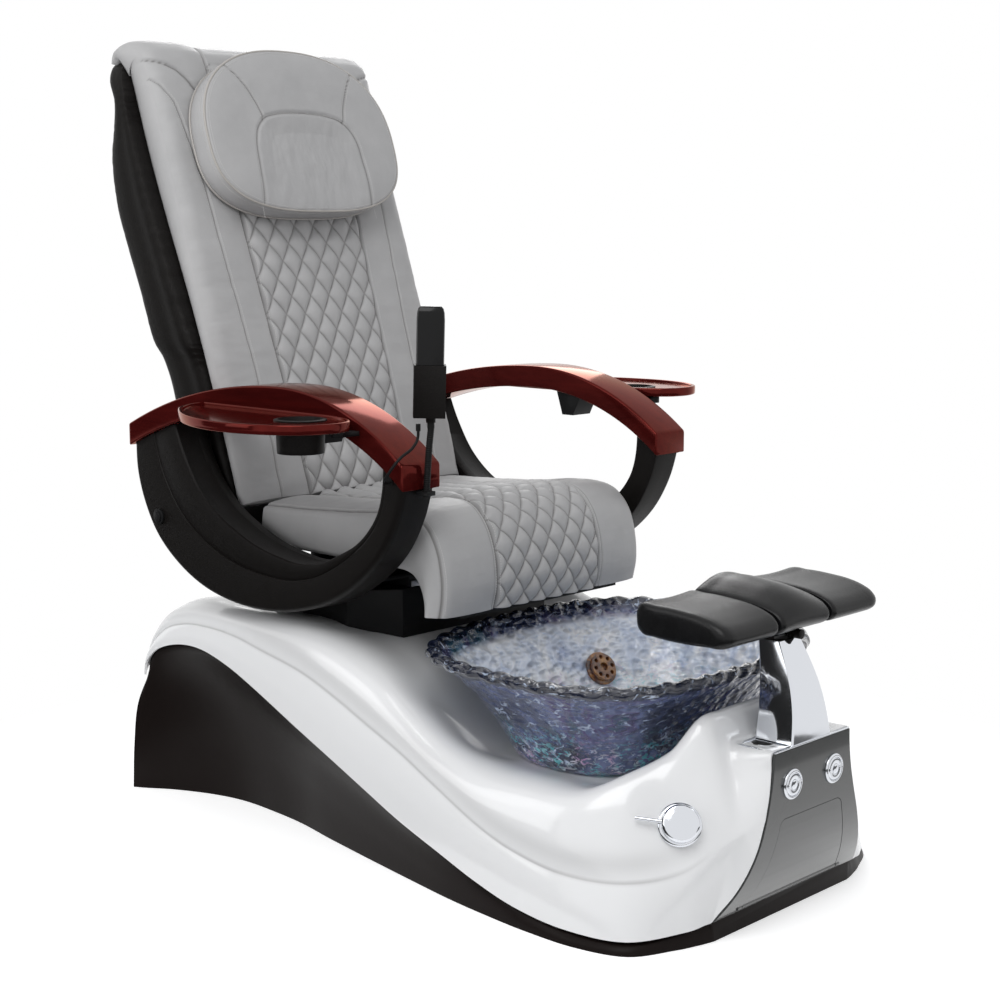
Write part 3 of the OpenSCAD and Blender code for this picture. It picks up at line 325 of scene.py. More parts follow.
def grained_plastic(name, colour, roughness, grain, depth, strength=0.5, level=0.25):
    """Moulded plastic with a pebbled grain; grain is the size of a pebble in metres."""
    m, t, b, v = principled(name, colour, roughness=roughness, specular_ior_level=level)
    low, high = [tuple(c * k for c in colour) for k in (0.82, 1.22)]
    tinted(t, b, noise_tex(t, v, 1.2 / grain, 2, 0.7), low, high)
    bump(t, b, (noise_tex(t, v, 40, 3), 0.05, 0.003), (noise_tex(t, v, 1 / grain, 2, 0.65), strength, depth))
    return m


def gloss_plastic(name, colour, roughness, coat=0.6, wave=0.03, level=0.5):
    m, t, b, v = principled(name, colour, roughness=roughness, specular_ior_level=level, coat_weight=coat,
                            coat_roughness=0.06)
    low, high = [tuple(min(1, c * k) for c in colour) for k in (0.97, 1.03)]
    tinted(t, b, noise_tex(t, v, 6, 3), low, high)
    bump(t, b, (noise_tex(t, v, 14, 2), wave, 0.004), (noise_tex(t, v, 900, 2), 0.03, 0.0002))
    return m


def white_material():
    """Gloss white moulding; the attribute "shade" paints shade, a dark line in the crease and a grey stripe
    in the valley over it.
    """
    m, t, b, v = principled("white_gloss", (0.8, 0.8, 0.8), roughness=0.2, coat_weight=0.5,
                            coat_roughness=0.06)
    # painted shade: where "shade" is 1 the white turns to a dark grey
    tone_with_painted_shade = blend(t, attribute(t, "shade"), (0.83, 0.834, 0.84), (0.3, 0.295, 0.29))
    t.links.new(tone_with_painted_shade, b.inputs["Base Color"])
    bump(t, b, (noise_tex(t, v, 14, 2), 0.02, 0.004), (noise_tex(t, v, 900, 2), 0.03, 0.0002))
    return m


def metal(name, colour, roughness, scratch, brushed=None):
    """Polished metal, or brushed with its coordinates stretched by the scale given."""
    m, t, b, v = principled(name, colour, brushed or (1, 1, 1), roughness=roughness, metallic=1.0)
    worn = noise_tex(t, v, 120 if brushed else 25, 4, 0.6)
    t.links.new(remap(t, worn, to_min=roughness * 0.7, to_max=roughness * 1.5 + 0.02), b.inputs["Roughness"])
    bump(t, b, (noise_tex(t, v, 600 if brushed else 18, 3), scratch, 0.0005 if brushed else 0.002))
    return m


def mahogany_material():
    m, t, b, v = principled("mahogany_lacquer", (0.08, 0.008, 0.008), (14, 1.6, 14), roughness=0.11,
                            specular_ior_level=0.25, metallic=0.5, specular_tint=(1, 0.5, 0.36, 1))
    tinted(t, b, noise_tex(t, v, 4, 5, 0.65, 0.6), (0.062, 0.0055, 0.0055), (0.098, 0.0095, 0.0085))
    bump(t, b, (noise_tex(t, v, 8, 3), 0.04, 0.0006))
    return m


def glass_material():
    """Hammered navy glass with violet and teal clouds, painted light on the inner wall ("pale"), a dark rim
    ("rim") and painted glints.
    """
    m, t, b, v = principled("hammered_glass", (0.2, 0.27, 0.5), roughness=0.06, ior=1.5,
                            transmission_weight=0.28, coat_weight=0.9, coat_roughness=0.03)
    clouds = ramp(t, noise_tex(t, v, 7, 4, 0.6, 1.0),
                  [(0.3, (0.01, 0.014, 0.04)), (0.42, (0.045, 0.065, 0.16)), (0.5, (0.14, 0.18, 0.36)),
                   (0.56, (0.1, 0.08, 0.22)), (0.63, (0.03, 0.12, 0.18)), (0.76, (0.3, 0.42, 0.62))])
    # painted light: pale blue-white colours for the lit inner wall and floor
    light = ramp(t, noise_tex(t, v, 14, 5, 0.6, 0.8),
                 [(0.3, (0.3, 0.38, 0.6)), (0.46, (0.72, 0.8, 0.95)), (0.62, (0.95, 0.97, 1)),
                  (0.76, (0.6, 0.52, 0.75))])
    wall = blend(t, attribute(t, "painted_inner_light"), clouds, light)
    edge = blend(t, attribute(t, "rim"), wall, (0.012, 0.017, 0.04))
    flattened = node(t, "ShaderNodeMapping", Scale=(1, 1, 1.7))
    t.links.new(v, flattened.inputs["Vector"])
    flat = flattened.outputs["Vector"]
    dimples = voronoi(t, flat, 50, "SMOOTH_F1", 0.7)
    # painted highlights: streaks of pale blue over the glass
    painted_glint_streaks = ramp(t, noise_tex(t, flat, 42, 3, 0.55, 1.4), [(0.58, (0, 0, 0)), (0.7, (1, 1, 1))])
    glass_with_painted_glints = blend(t, painted_glint_streaks, edge, (0.62, 0.74, 0.95))
    place = t.nodes.new("ShaderNodeSeparateXYZ")
    t.links.new(v, place.inputs["Vector"])
    # painted glints low on the bowl, in teal, pink and white: the glass's iridescent hues with painted
    # highlights
    painted_glint_specks = ramp(t, noise_tex(t, flat, 75, 3, 0.6, 1.0), [(0.52, (0, 0, 0)), (0.6, (0.9, 0.9, 0.9))])
    low_painted_glints = node(t, "ShaderNodeMath", operation="MULTIPLY")
    t.links.new(remap(t, place.outputs["Z"], from_min=0.315, from_max=0.25), low_painted_glints.inputs[0])
    t.links.new(painted_glint_specks, low_painted_glints.inputs[1])
    painted_glint_hues = ramp(t, noise_tex(t, v, 16, 2, 0.5, 0.8), [(0.36, (0.6, 0.34, 0.62)), (0.46, (0.75, 0.8, 0.9)),
                                                     (0.54, (0.08, 0.55, 0.62)), (0.68, (0.35, 0.8, 0.85))])
    t.links.new(blend(t, low_painted_glints.outputs["Value"], glass_with_painted_glints, painted_glint_hues), b.inputs["Base Color"])
    bump(t, b, (dimples, 0.9, 0.018), (noise_tex(t, v, 90, 2), 0.2, 0.003))
    return m


def pu_material():
    m, t, b, v = principled("black_pu", (0.006, 0.006, 0.0065), roughness=0.27, specular_ior_level=0.22)
    tinted(t, b, noise_tex(t, v, 30, 3), (0.005, 0.005, 0.0055), (0.008, 0.008, 0.0085))
    bump(t, b, (noise_tex(t, v, 20, 2), 0.06, 0.004), (voronoi(t, v, 700, "SMOOTH_F1", 0.6), 0.35, 0.0006))
    return m


def amber_material():
    m, t, b, v = principled("amber_cover", (0.34, 0.13, 0.03), roughness=0.18, coat_weight=0.6,
                            coat_roughness=0.05)
    mottled = ramp(t, noise_tex(t, v, 45, 3, 0.6, 1.0),
                   [(0.35, (0.02, 0.008, 0.01)), (0.5, (0.15, 0.055, 0.02)), (0.66, (0.34, 0.16, 0.04))])
    t.links.new(mottled, b.inputs["Base Color"])
    bump(t, b, (noise_tex(t, v, 120, 2), 0.2, 0.002))
    return m


LEATHER = leather_material()
THREAD = thread_material()
PIPING = piping_material()
BLACK_GRAIN = grained_plastic("black_grained_plastic", (0.005, 0.004, 0.0036), 0.46, 0.0022, 0.0009, 0.6,
                              0.14)
BLACK_SHELL = grained_plastic("black_body_plastic", (0.009, 0.0062, 0.0056), 0.36, 0.0012, 0.0003, 0.2, 0.07)
BLACK_GLOSS = gloss_plastic("black_gloss_plastic", (0.003, 0.003, 0.0034), 0.2, 0.15, 0.03, 0.15)
BLACK_RUBBER = grained_plastic("black_rubber", (0.008, 0.008, 0.008), 0.5, 0.0015, 0.0003, 0.3, 0.12)
BLACK_STEEL = grained_plastic("black_powder_coat", (0.01, 0.01, 0.0105), 0.4, 0.0009, 0.0002, 0.4, 0.12)
GREY_KEYS = grained_plastic("grey_keys", (0.2, 0.2, 0.21), 0.5, 0.001, 0.0002, 0.3)
WHITE = white_material()
GREY = gloss_plastic("grey_fascia", (0.048, 0.05, 0.05), 0.22, 0.7, 0.02)
CHROME = metal("chrome", (0.7, 0.72, 0.76), 0.05, 0.02)
STEEL = metal("brushed_steel", (0.58, 0.58, 0.59), 0.28, 0.2, (2, 60, 60))
MAHOGANY = mahogany_material()
GLASS = glass_material()
PU = pu_material()
AMBER = amber_material()
SLOT_MATERIAL = {"steel_black": BLACK_STEEL, "steel_bright": STEEL, "black_shell": BLACK_SHELL,
                 "white_gloss": WHITE, "grey_fascia": GREY, "chrome": CHROME, "black_plastic": BLACK_GRAIN,
                 "black_gloss": BLACK_GLOSS,
                 "grey_plastic": GREY_KEYS, "black_pu": PU, "black_rubber": BLACK_RUBBER, "blue_glass": GLASS,
                 "amber_plastic": AMBER, "leather": LEATHER, "mahogany": MAHOGANY}
# width of the bevel on a CAD piece's edges; the others keep them sharp
BEVELLED = {0.4: ("cup_right", "cup_left", "button_right", "button_left", "button_bezel_right",
                  "button_bezel_left"),
            0.5: ("valve_body", "tilt_knob"), 0.6: ("top_plate", "footrest_carrier"), 0.7: ("valve_knob",),
            0.8: ("footrest_bracket", "slide_rails", "back_hinges", "neck_clip", "jet_cover",
                  "pivot_bolt_right", "pivot_bolt_left", "slide_actuator"),
            1.0: ("seat_frame", "tray_bracket_right", "tray_bracket_left"), 1.2: ("remote_holder",),
            1.5: ("pedestal",)}
EDGE = {name: width for width, names in BEVELLED.items() for name in names}
WELD, EDGE_ANGLE = 0.02, 32


def dress_cad_nodes():
    """Every CAD node takes its slot's finish; its hard edges are bevelled or split."""
    slots = {s["node"]: s["material_slot"] for s in frame["record"]["subparts"]}
    for name, obj in NODES.items():
        obj.data.materials.clear()
        obj.data.materials.append(SLOT_MATERIAL[slots[name]])
        weld = obj.modifiers.new("weld", "WELD")
        weld.merge_threshold = WELD * MM
        if name in EDGE:
            bevel(obj, EDGE[name], 2, EDGE_ANGLE)
        else:
            split = obj.modifiers.new("split", "EDGE_SPLIT")
            split.split_angle = math.radians(EDGE_ANGLE)
        obj.data.polygons.foreach_set("use_smooth", [True] * len(obj.data.polygons))


dress_cad_nodes()


# ---------- camera, then the handset's cable ----------
LENS, SENSOR, FAR = 65.06, 36, 50
AZIMUTH, PITCH, EYE = math.radians(-46.453), math.radians(8.588), (-2.399, -2.3155, 1.119)


def make_camera():
    data = bpy.data.cameras.new("camera")
    data.lens, data.sensor_width, data.clip_end = LENS, SENSOR, FAR
    cam = add_object("camera", data)
    along_floor = math.cos(PITCH)
    back = Vector((math.sin(AZIMUTH) * along_floor, -math.cos(AZIMUTH) * along_floor, math.sin(PITCH)))
    cam.location = EYE
    cam.rotation_mode = "QUATERNION"
    cam.rotation_quaternion = (-back).to_track_quat("-Z", "Y")
    bpy.context.scene.camera = cam


CABLE = [(-340, -172, 786), (-340, -172, 780), (-344, -172, 768), (-357, -172, 756), (-377, -171, 746),
         (-391, -166, 731), (-396, -156, 715), (-392, -144, 703), (-384, -138, 700), (-377, -138, 700),
         (-372, -138, 700)]
CABLE_D = 5


def make_cable():
    """The cord from the handset's relief to its gland on the arm frame."""
    points, parts = np.array(CABLE, float), 3
    last = parts * (len(points) - 1)
    route = [along(points, i / parts) for i in range(last + 1)]
    for i in range(parts):
        route[i] = lerp(points[0], points[1], i / parts)
        route[last - i] = lerp(points[-1], points[-2], i / parts)
    data = bpy.data.curves.new("handset_cable", "CURVE")
    data.dimensions, data.bevel_depth, data.bevel_resolution = "3D", CABLE_D / 2 * MM, 4
    spline = data.splines.new("POLY")
    spline.points.add(len(route) - 1)
    for p, q in zip(spline.points, route):
        p.co = (*(q * MM), 1)
    obj = add_object("handset_cable", data)
    data.materials.append(BLACK_RUBBER)
    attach(obj, "chair")
    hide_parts("remote_cable")


make_camera()
make_cable()


# ---------- base: the same stations as the CAD loft, from the rear to the front ----------
BASE_L, DECK_Z, BOWL_DECK_Z, BLOCK_Z, SHELL_T, FASCIA_T = 1384, 400, 216, 297, 5, 5
REAR_Y = 650
FRONT_Y = REAR_Y - BASE_L
EDGE_RAIL = [(343, 610, .595), (352, 588, .68), (358, 540, .765), (360, 470, .815), (360, 400, .818),
             (360, 320, .77), (360, 235, .688), (360, 124, .568), (360, 30, .47), (360, -60, .375),
             (360, -142, .29), (360, -235, .21), (360, -330, .132), (360, -421, .08), (354, -520, .055),
             (325, -615, .05), (250, -666, .07), (214, -679, .085), (202, -682, .088)]
CREASE_RAIL = [(341, 610, .615), (349, 580, .742), (355, 525, .857), (357, 462, .91), (357, 390, .925),
               (357, 305, .915), (357, 228, .88), (357, 118, .828), (357, 30, .755), (357, -60, .665),
               (357, -140, .585), (356, -230, .475), (355, -325, .365), (353, -410, .3),
               (343, -505, .262), (307, -596, .26), (244, -656, .3), (184, -692, .405), (152, -712, .45)]
SHOULDER_RAIL = [(320, 604, .215), (326, 568, .6), (330, 512, .9), (331, 455, .985), (332, 385, 1),
                 (333, 300, 1), (333, 215, 1), (333, 125, .97), (332, 35, .855), (331, -55, .675),
                 (330, -135, .43), (328, -225, .175), (326, -310, .035), (322, -400, 0), (310, -490, 0),
                 (262, -545, -.35), (198, -588, -.75), (142, -620, -1.54), (112, -652, -1)]
DECK_RAIL = [(606, .23), (572, .62), (516, .92), (455, .995), (385, 1), (300, 1), (215, 1), (130, .995),
             (40, .88), (-50, .645), (-125, .28), (-195, 0), (-290, 0), (-400, 0), (-500, 0), (-548, -.4),
             (-586, -1), (-615, -1.57), (-651, -1)]
FLOOR_RAIL = [(354, 650), (338, 622), (306, 572), (272, 492), (256, 410), (259, 310), (268, 225),
              (287, 130), (305, 30), (322, -70), (336, -155), (350, -245), (360, -340), (366, -440),
              (362, -540), (333, -624), (262, -662), (222, -676), (204, -681), (190, -684)]
CREASE_D, DISH, SPINE_Z, BODY_GAP, FLOOR_GAP = 3, .9, -200, 1.5, .5
FASCIA_Z0 = 36
HUMP_Y0, HUMP_Y1, HUMP_Z = -665, -520, 230


def level(v):
    """Deck heights: 1 is the chair's deck, 0 the bowl's, -1 the front block, beyond -1 the hump behind it."""
    rise = DECK_Z - BOWL_DECK_Z if v >= 0 else BOWL_DECK_Z - BLOCK_Z
    return BOWL_DECK_Z + rise * v


def fascia_y(z):
    return FRONT_Y + 36 * max(0, (200 - z) / 150) ** 2.6


def fascia_x(z):
    return 106 + 84 * max(0, (BLOCK_Z + 1 - z) / (BLOCK_Z - 49)) ** 1.8


def flank(k):
    """Section of the shell at a station: lower edge, flank, crease, crest, shoulder and deck."""
    low = np.array([*EDGE_RAIL[k][:2], EDGE_RAIL[k][2] * DECK_Z])
    crease = np.array([*CREASE_RAIL[k][:2], CREASE_RAIL[k][2] * DECK_Z])
    shoulder = np.array([*SHOULDER_RAIL[k][:2], level(SHOULDER_RAIL[k][2])])
    deck = np.array([0, DECK_RAIL[k][0], level(DECK_RAIL[k][1])])
    crest = lerp(crease, shoulder, .55) + np.array([8, 0, 6]) * (1 if k < 16 else .4)
    dished = np.array([lerp(shoulder[0], 0, .35), lerp(shoulder[1], deck[1], .35),
                       lerp(shoulder[2], deck[2], DISH)])
    back = np.array([CREASE_D if k else 0, 0, 0])
    return [low, lerp(low, crease, .55) + [2.5 if k else 0, 0, 0], lerp(low, crease, .86), crease - back,
            lerp(crease, crest, .3), crest, shoulder, dished, deck]


def front_section():
    inset, top = FASCIA_T + 0.3, BLOCK_Z - .5
    edge = [[fascia_x(z), fascia_y(z) + inset, z] for z in (FASCIA_Z0, 84, 140, 195, 240, 272, top)]
    return edge + [[fascia_x(top) * .65, fascia_y(top) + inset, top], [0, fascia_y(top) + inset, top]]


SECTIONS = np.array([flank(k) for k in range(len(EDGE_RAIL))] + [front_section()])
LAST = len(SECTIONS) - 1
ROWS = 8 * LAST + 1
STATIONS = np.linspace(0, LAST, ROWS)
CREASE_AT = 25


def shell_row(u):
    """Dense half section at u: smooth on each side of the crease, which stays a line."""
    s = along(SECTIONS, u)
    lower, upper = through(s[:4], CREASE_AT + 1), through(s[3:], 60)
    if u > LAST - 1:
        upper[:, 2] = np.minimum(upper[:, 2], BLOCK_Z)
    return np.vstack([lower, upper[1:]])


def across(half):
    """The whole section from its half, whose last point is on the middle."""
    return np.vstack([half, (half * [-1, 1, 1])[-2::-1]])


def crease_shade(row, u):
    """Painted shade across a full row: a fine dark line in the crease and a soft grey stripe in the valley
    over it.
    """
    half = row[:(len(row) + 1) // 2]
    step = np.linalg.norm(np.diff(half, axis=0), axis=1)
    arc = np.concatenate([[0], np.cumsum(step)])
    d = arc - arc[CREASE_AT]
    ends = clamp(min((u - .4) / 1.2, (LAST - 2.2 - u) / 1.5))
    value = ends * (.5 * np.exp(-(d / 3) ** 2) + np.where(d > 0, .24 * np.exp(-((d - 30) / 17) ** 2), 0))
    return np.concatenate([value, value[-2::-1]])


def make_white_shell():
    """The moulded shell, a skin with the wall's thickness."""
    rows = [across(shell_row(u)) for u in STATIONS]
    faces = grid_faces(ROWS, len(rows[0]))
    obj = piece("white_shell_skin", np.vstack(rows), faces, WHITE, "base", ["white_shell"])
    # painted shade along the crease, read by the white material
    mark_points(obj, "shade", [crease_shade(row, u) for row, u in zip(rows, STATIONS)])
    wall = obj.modifiers.new("wall", "SOLIDIFY")
    wall.thickness, wall.offset, wall.use_rim = (SHELL_T - .6) * MM, -1, True
    rim = bevel(obj, 1.4, 3, 60)
    rim.harden_normals = False


def skirt(u, top):
    """Points of the black body from the floor to just under the shell's edge."""
    f = along(FLOOR_RAIL, u)
    foot = np.array([f[0], f[1], FLOOR_GAP])
    mid, high = [foot + (top - foot) * share for share in ((.16, .1, .38), (.52, .38, .76))]
    return through([foot, mid, high, top], 26)


def spine_y(q):
    """The wall is measured toward a line under the base, and straight down over the front hump."""
    return q[1] if HUMP_Y0 < q[1] < HUMP_Y1 and q[2] > HUMP_Z else q[1] / 2


# the service cavity behind the door, between two values on each axis
CAVITY = (-80, 80), (FRONT_Y, FRONT_Y + 120), (62, 172)


def make_black_body():
    """The lower body, just inside the shell, with its service cavity."""
    rows = []
    for u in STATIONS:
        s = shell_row(u)
        ends = .6 if u == 0 or u >= LAST - .5 else 1
        pull = np.array([unit(q - [0, spine_y(q), SPINE_Z]) for q in s])
        inner = s - pull * (SHELL_T + BODY_GAP) * ends
        half = np.vstack([skirt(u, inner[0]), inner[1::6], inner[-1:]])
        rows.append(across(half))
    obj = loft("black_body_skin", rows, BLACK_SHELL, "base", ["black_body"])
    smooth_by_angle(obj, 40)
    cut_box(obj, *CAVITY)


make_white_shell()
make_black_body()


# ---------- bowl: hammered glass with a rope-twist rim ----------
BOWL_W, BOWL_L, BOWL_H, BOWL_WALL, RIM_D = 682, 528, 176, 9, 21
FOOT_HALF, BOWL_FOOT_Z, BOWL_FOOT_Y, BOWL_Y = (222, 146), BOWL_DECK_Z + .8, -358, -340
RIM_Z = BOWL_FOOT_Z + BOWL_H
RIM_STRANDS, BOWL_COLUMNS = 88, 520


def rim_wave(a):
    return 17 * max(0, math.sin(a)) ** 2 + 2 * math.cos(2 * a)


def rim_power(a):
    """The rear corners are squarer than the near front one."""
    return 2.7 if math.degrees(a) % 360 > 270 else 3.4


def oval(a, hx, hy, n):
    c, s = math.cos(a), math.sin(a)
    r = ((abs(c) / hx) ** n + (abs(s) / hy) ** n) ** (-1 / n)
    return r * c, r * s


def bowl_point(a, t, d, z):
    """Point on the wall at angle a, t from the foot (0) to the rim (1), d inside the outer face."""
    f = oval(a, FOOT_HALF[0] - d, FOOT_HALF[1] - d, 2.6)
    r = oval(a, BOWL_W / 2 - RIM_D / 2 - d, BOWL_L / 2 - RIM_D / 2 - d, rim_power(a))
    return [lerp(f[0], r[0], t), lerp(f[1], r[1], t) + lerp(BOWL_FOOT_Y, BOWL_Y, t), z + t * t * rim_wave(a)]


def rim_point(a, b):
    """Point at angle b around the rim's rope, whose strands twist along angle a."""
    twist = 1 + .19 * math.cos(b - a * RIM_STRANDS / 2)
    c, s = math.cos(b) * RIM_D / 2 * twist, math.sin(b) * RIM_D / 2 * twist
    r = oval(a, BOWL_W / 2 - RIM_D / 2 + c, BOWL_L / 2 - RIM_D / 2 + c, rim_power(a))
    return [r[0], r[1] + BOWL_Y, RIM_Z + rim_wave(a) + s]


def hammer(p):
    """Dimples of the hammered glass, in millimetres."""
    q = Vector(np.asarray(p, float) * [1, 1, 1.5] / 17)
    d = noise.voronoi(q)[0]
    return 2.4 * (d[1] - d[0]) - 1.2 + .7 * noise.noise(q * .7)


def make_bowl():
    """Outer wall, twisted rim and inner wall in one skin, columns of points around the bowl."""
    h, z0 = BOWL_H, BOWL_FOOT_Z
    outer = [(0, 14, z0), (.03, 2, z0 + 8), (.22, 0, z0 + h * .3), (.52, 0, z0 + h * .62),
             (.86, 0, z0 + h * .9)]
    inner = [(.88, BOWL_WALL, z0 + h * .93), (.52, BOWL_WALL, z0 + h * .64), (.22, BOWL_WALL, z0 + h * .32),
             (.03, BOWL_WALL + 6, z0 + BOWL_WALL + 3), (0, BOWL_WALL + 20, z0 + BOWL_WALL)]
    columns = []
    for k in range(BOWL_COLUMNS):
        a = 2 * math.pi * k / BOWL_COLUMNS
        up = through([bowl_point(a, *q) for q in outer], 64)
        rim = np.array([rim_point(a, math.radians(b)) for b in range(-75, 136, 14)])
        down = through([bowl_point(a, *q) for q in inner], 60)
        middle = np.array([0, BOWL_FOOT_Y, z0 + BOWL_WALL])
        floor = np.array([lerp(down[-1], middle, t) for t in (.25, .5, .75, .93)])
        out = np.array([math.cos(a), math.sin(a), 0])
        for band, sign in ((up, 1), (down, -1)):
            for i, p in enumerate(band):
                fade = min(1, i / 6) * min(1, (len(band) - 1 - i) / 5)
                band[i] = p + out * sign * fade * hammer(p)
        columns.append(np.vstack([up, rim, down, floor]))
    rings = np.array(columns).transpose(1, 0, 2)
    obj = loft("glass_bowl", rings, GLASS, "base", ["bowl"])
    first_rim, first_inner = len(up), len(up) + len(rim)
    ring_at = np.repeat(np.arange(len(rings)), BOWL_COLUMNS)
    # painted light on the inner wall and floor
    mark_points(obj, "painted_inner_light", np.clip((ring_at - first_inner) / 4, 0, 1))
    mark_points(obj, "rim", (ring_at >= first_rim) & (ring_at < first_inner))


make_bowl()


# ---------- cushions ----------
SEAT_W, SEAT_Z, SEAT_T, BACK_W, QUILT_W, QUILT_D = 540, 612, 78, 572, 272, 7
BACK_LEAN = math.radians(18.8)
SEAT_REAR, NOSE_Y, SEAT_LOW, UNDER_Z = 322, -152, 452, SEAT_Z - SEAT_T - 6
SEAT_OUTER = [(SEAT_REAR, SEAT_Z - 10), (230, SEAT_Z - 6), (120, SEAT_Z), (25, SEAT_Z + 8),
              (-50, SEAT_Z + 15), (-98, SEAT_Z + 5), (-130, SEAT_Z - 26), (-147, SEAT_Z - 70),
              (NOSE_Y, SEAT_Z - 118), (NOSE_Y + 7, SEAT_LOW)]
SEAT_UNDER = [(SEAT_REAR, UNDER_Z), (230, UNDER_Z), (120, UNDER_Z), (25, UNDER_Z), (-38, UNDER_Z),
              (-64, UNDER_Z - 2), (-82, UNDER_Z - 9), (-96, UNDER_Z - 25), (-105, UNDER_Z - 49),
              (-108, SEAT_LOW)]
SEAT_CROWN = [6, 8, 10, 13, 17, 20, 19, 16, 12, 8]
SEAT_SIDES = [0, 0, 0, 0, 0, 3, 8, 11, 12, 12]


def groove(distance, width, depth):
    """A rounded valley beside a seam."""
    return -depth * math.exp(-(distance / width) ** 2)


def quilting(a, b, depth, sharp=.55):
    """Puffed diamonds: a and b count half cells across and along; a + b or a - b is even on a stitch."""
    p, q = abs(math.sin(math.pi * (a + b) / 2)), abs(math.sin(math.pi * (a - b) / 2))
    return depth * (p * q) ** sharp


def seam_shade_line(distance, width=1.5):
    """Painted shade of a seam's valley at a distance from it, from 0 to 1."""
    return math.exp(-(distance / width) ** 2)


def quilt_shade_line(a, b, cell, width=1.3):
    """Painted shade in the quilting's stitched valleys; cell is half the diamond's width in millimetres."""
    near = min(abs((k + 1) % 2 - 1) for k in ((a + b) % 2, (a - b) % 2))
    return .75 * math.exp(-(near * cell * .75 / width) ** 2)


CUSHION_COLUMNS = 321


class Cushion:
    """A padded form on two lines, outer and under, with a height over the outer one, as the CAD has it."""

    # seam gives the painted shade in the seam and quilting valleys, from 0 to 1
    def __init__(self, outer, under, rows, half_width, height, seam):
        self.outer, self.under, self.rows, self.half_width = outer, under, rows, half_width
        self.height, self.seam = height, seam

    def frame_at(self, u):
        """The outer line's point at u and the normal there."""
        out = along(self.outer, u)
        return out, unit(out - along(self.under, u))

    def surface(self, u, x, lift=0):
        out, n = self.frame_at(u)
        p = out + n * (self.height(u, x) + lift)
        return np.array([x, p[0], p[1]])

    def build(self, name, body, replaced):
        """Rings over the face and around the two rounded side walls, with painted shade in the seam valleys.
        """
        rings, seam_shades, columns = [], [], np.linspace(-1, 1, CUSHION_COLUMNS)
        for u in self.rows:
            und, w = along(self.under, u), self.half_width(u)
            top = [self.surface(u, x * w) for x in columns]
            seam_shades.append([self.seam(u, x * w) for x in columns])
            edge = np.array([top[-1][1], top[-1][2]])
            wall = []
            for t in np.linspace(0, 1, 9)[1:]:
                bulge = 5 * math.sin(math.pi * t)
                p = lerp(edge, und, t)
                wall.append([w + bulge - 5 * t * t, p[0], p[1]])
            wall.append([w * .9, und[0], und[1]])
            right = np.array(wall)
            left = (right * [-1, 1, 1])[::-1]
            rings.append(np.vstack([top, right, left]))
            seam_shades[-1] += [0] * (len(right) + len(left))
        obj = loft(name, rings, LEATHER, body, replaced)
        # painted shade in the seam valleys, read by the leather
        mark_points(obj, "seam", seam_shades)
        return obj


STITCH, STITCH_PITCH, THREAD_R = 3.2, 4.6, .45


def stitch_run(points, normals):
    """Thread along a seam: one short capsule for each stitch."""
    pts, nrm = np.asarray(points, float), np.asarray(normals, float)
    step = np.linalg.norm(np.diff(pts, axis=0), axis=1)
    s = np.concatenate([[0], np.cumsum(step)])
    verts, faces = [], []
    for k in range(int(s[-1] / STITCH_PITCH)):
        at = k * STITCH_PITCH
        ends = [np.array([np.interp(t, s, pts[:, c]) for c in range(3)]) for t in (at, at + STITCH)]
        n = np.array([np.interp(at, s, nrm[:, c]) for c in range(3)])
        d = unit(ends[1] - ends[0])
        n = unit(n - d * (n @ d))
        side = np.cross(d, n)
        base = len(verts)
        for t, r in ((0, .35), (.25, 1), (.75, 1), (1, .35)):
            c = lerp(ends[0], ends[1], t)
            for j in range(6):
                a = 2 * math.pi * j / 6
                verts.append(c + THREAD_R * r * (math.cos(a) * side + math.sin(a) * n))
        faces += [tuple(base + i for i in quad) for quad in grid_faces(4, 6, wrap=True)]
        faces += [tuple(base + j for j in range(6)), tuple(base + 18 + j for j in reversed(range(6)))]
    return verts, faces


def stitches(name, runs, body):
    """All the thread of one cushion as one piece."""
    verts, faces = [], []
    for points, normals in runs:
        v, f = stitch_run(points, normals)
        faces += [tuple(i + len(verts) for i in q) for q in f]
        verts += v
    return piece(name, verts, faces, THREAD, body)


SEAT_QUILT = QUILT_W / 2
SEAT_HALF_ROWS = 16
# the cross seam's station, and the millimetres from one station to the next there
SEAM_CREST, SEAT_PITCH = 3.75, 62


def seat_height(u, x):
    """Height over the outer line: crown, side panel and rounded edge, then the seams, quilting and folds."""
    w, q, d = SEAT_W / 2, SEAT_QUILT, abs(x)
    last = len(SEAT_OUTER) - 1
    crown, drop = along(SEAT_CROWN, u), along(SEAT_SIDES, u)
    e = d / w
    h = crown * (1 - e * e) + 6 * (1 - abs(2 * (d - q) / (w - q) - 1) ** 2.2 if d > q else 0)
    h -= (6 + drop) * max(0, (d - (w - 26)) / 26) ** 2.4
    h += groove(d - q, 3.2, 6) + groove(d - q - 9, 1.6, 1.6) + groove(d - (w - 9), 2.2, 2.4)
    if d < q - 2:
        fade = min(1, (q - 2 - d) / 9) ** .6
        h += quilting(x / (q / 6), u / last * SEAT_HALF_ROWS, QUILT_D + 3) * fade - 1.2
    elif u < last - .3:
        h += groove((u - SEAM_CREST) * SEAT_PITCH, 3.5, 2.2) * min(1, (d - q) / 12)
    out = along(SEAT_OUTER, u)
    return h + .9 * fbm((x, out[0], out[1]), 60) + .35 * fbm((x * .4, out[0] * 2, out[1] * 2), 22)


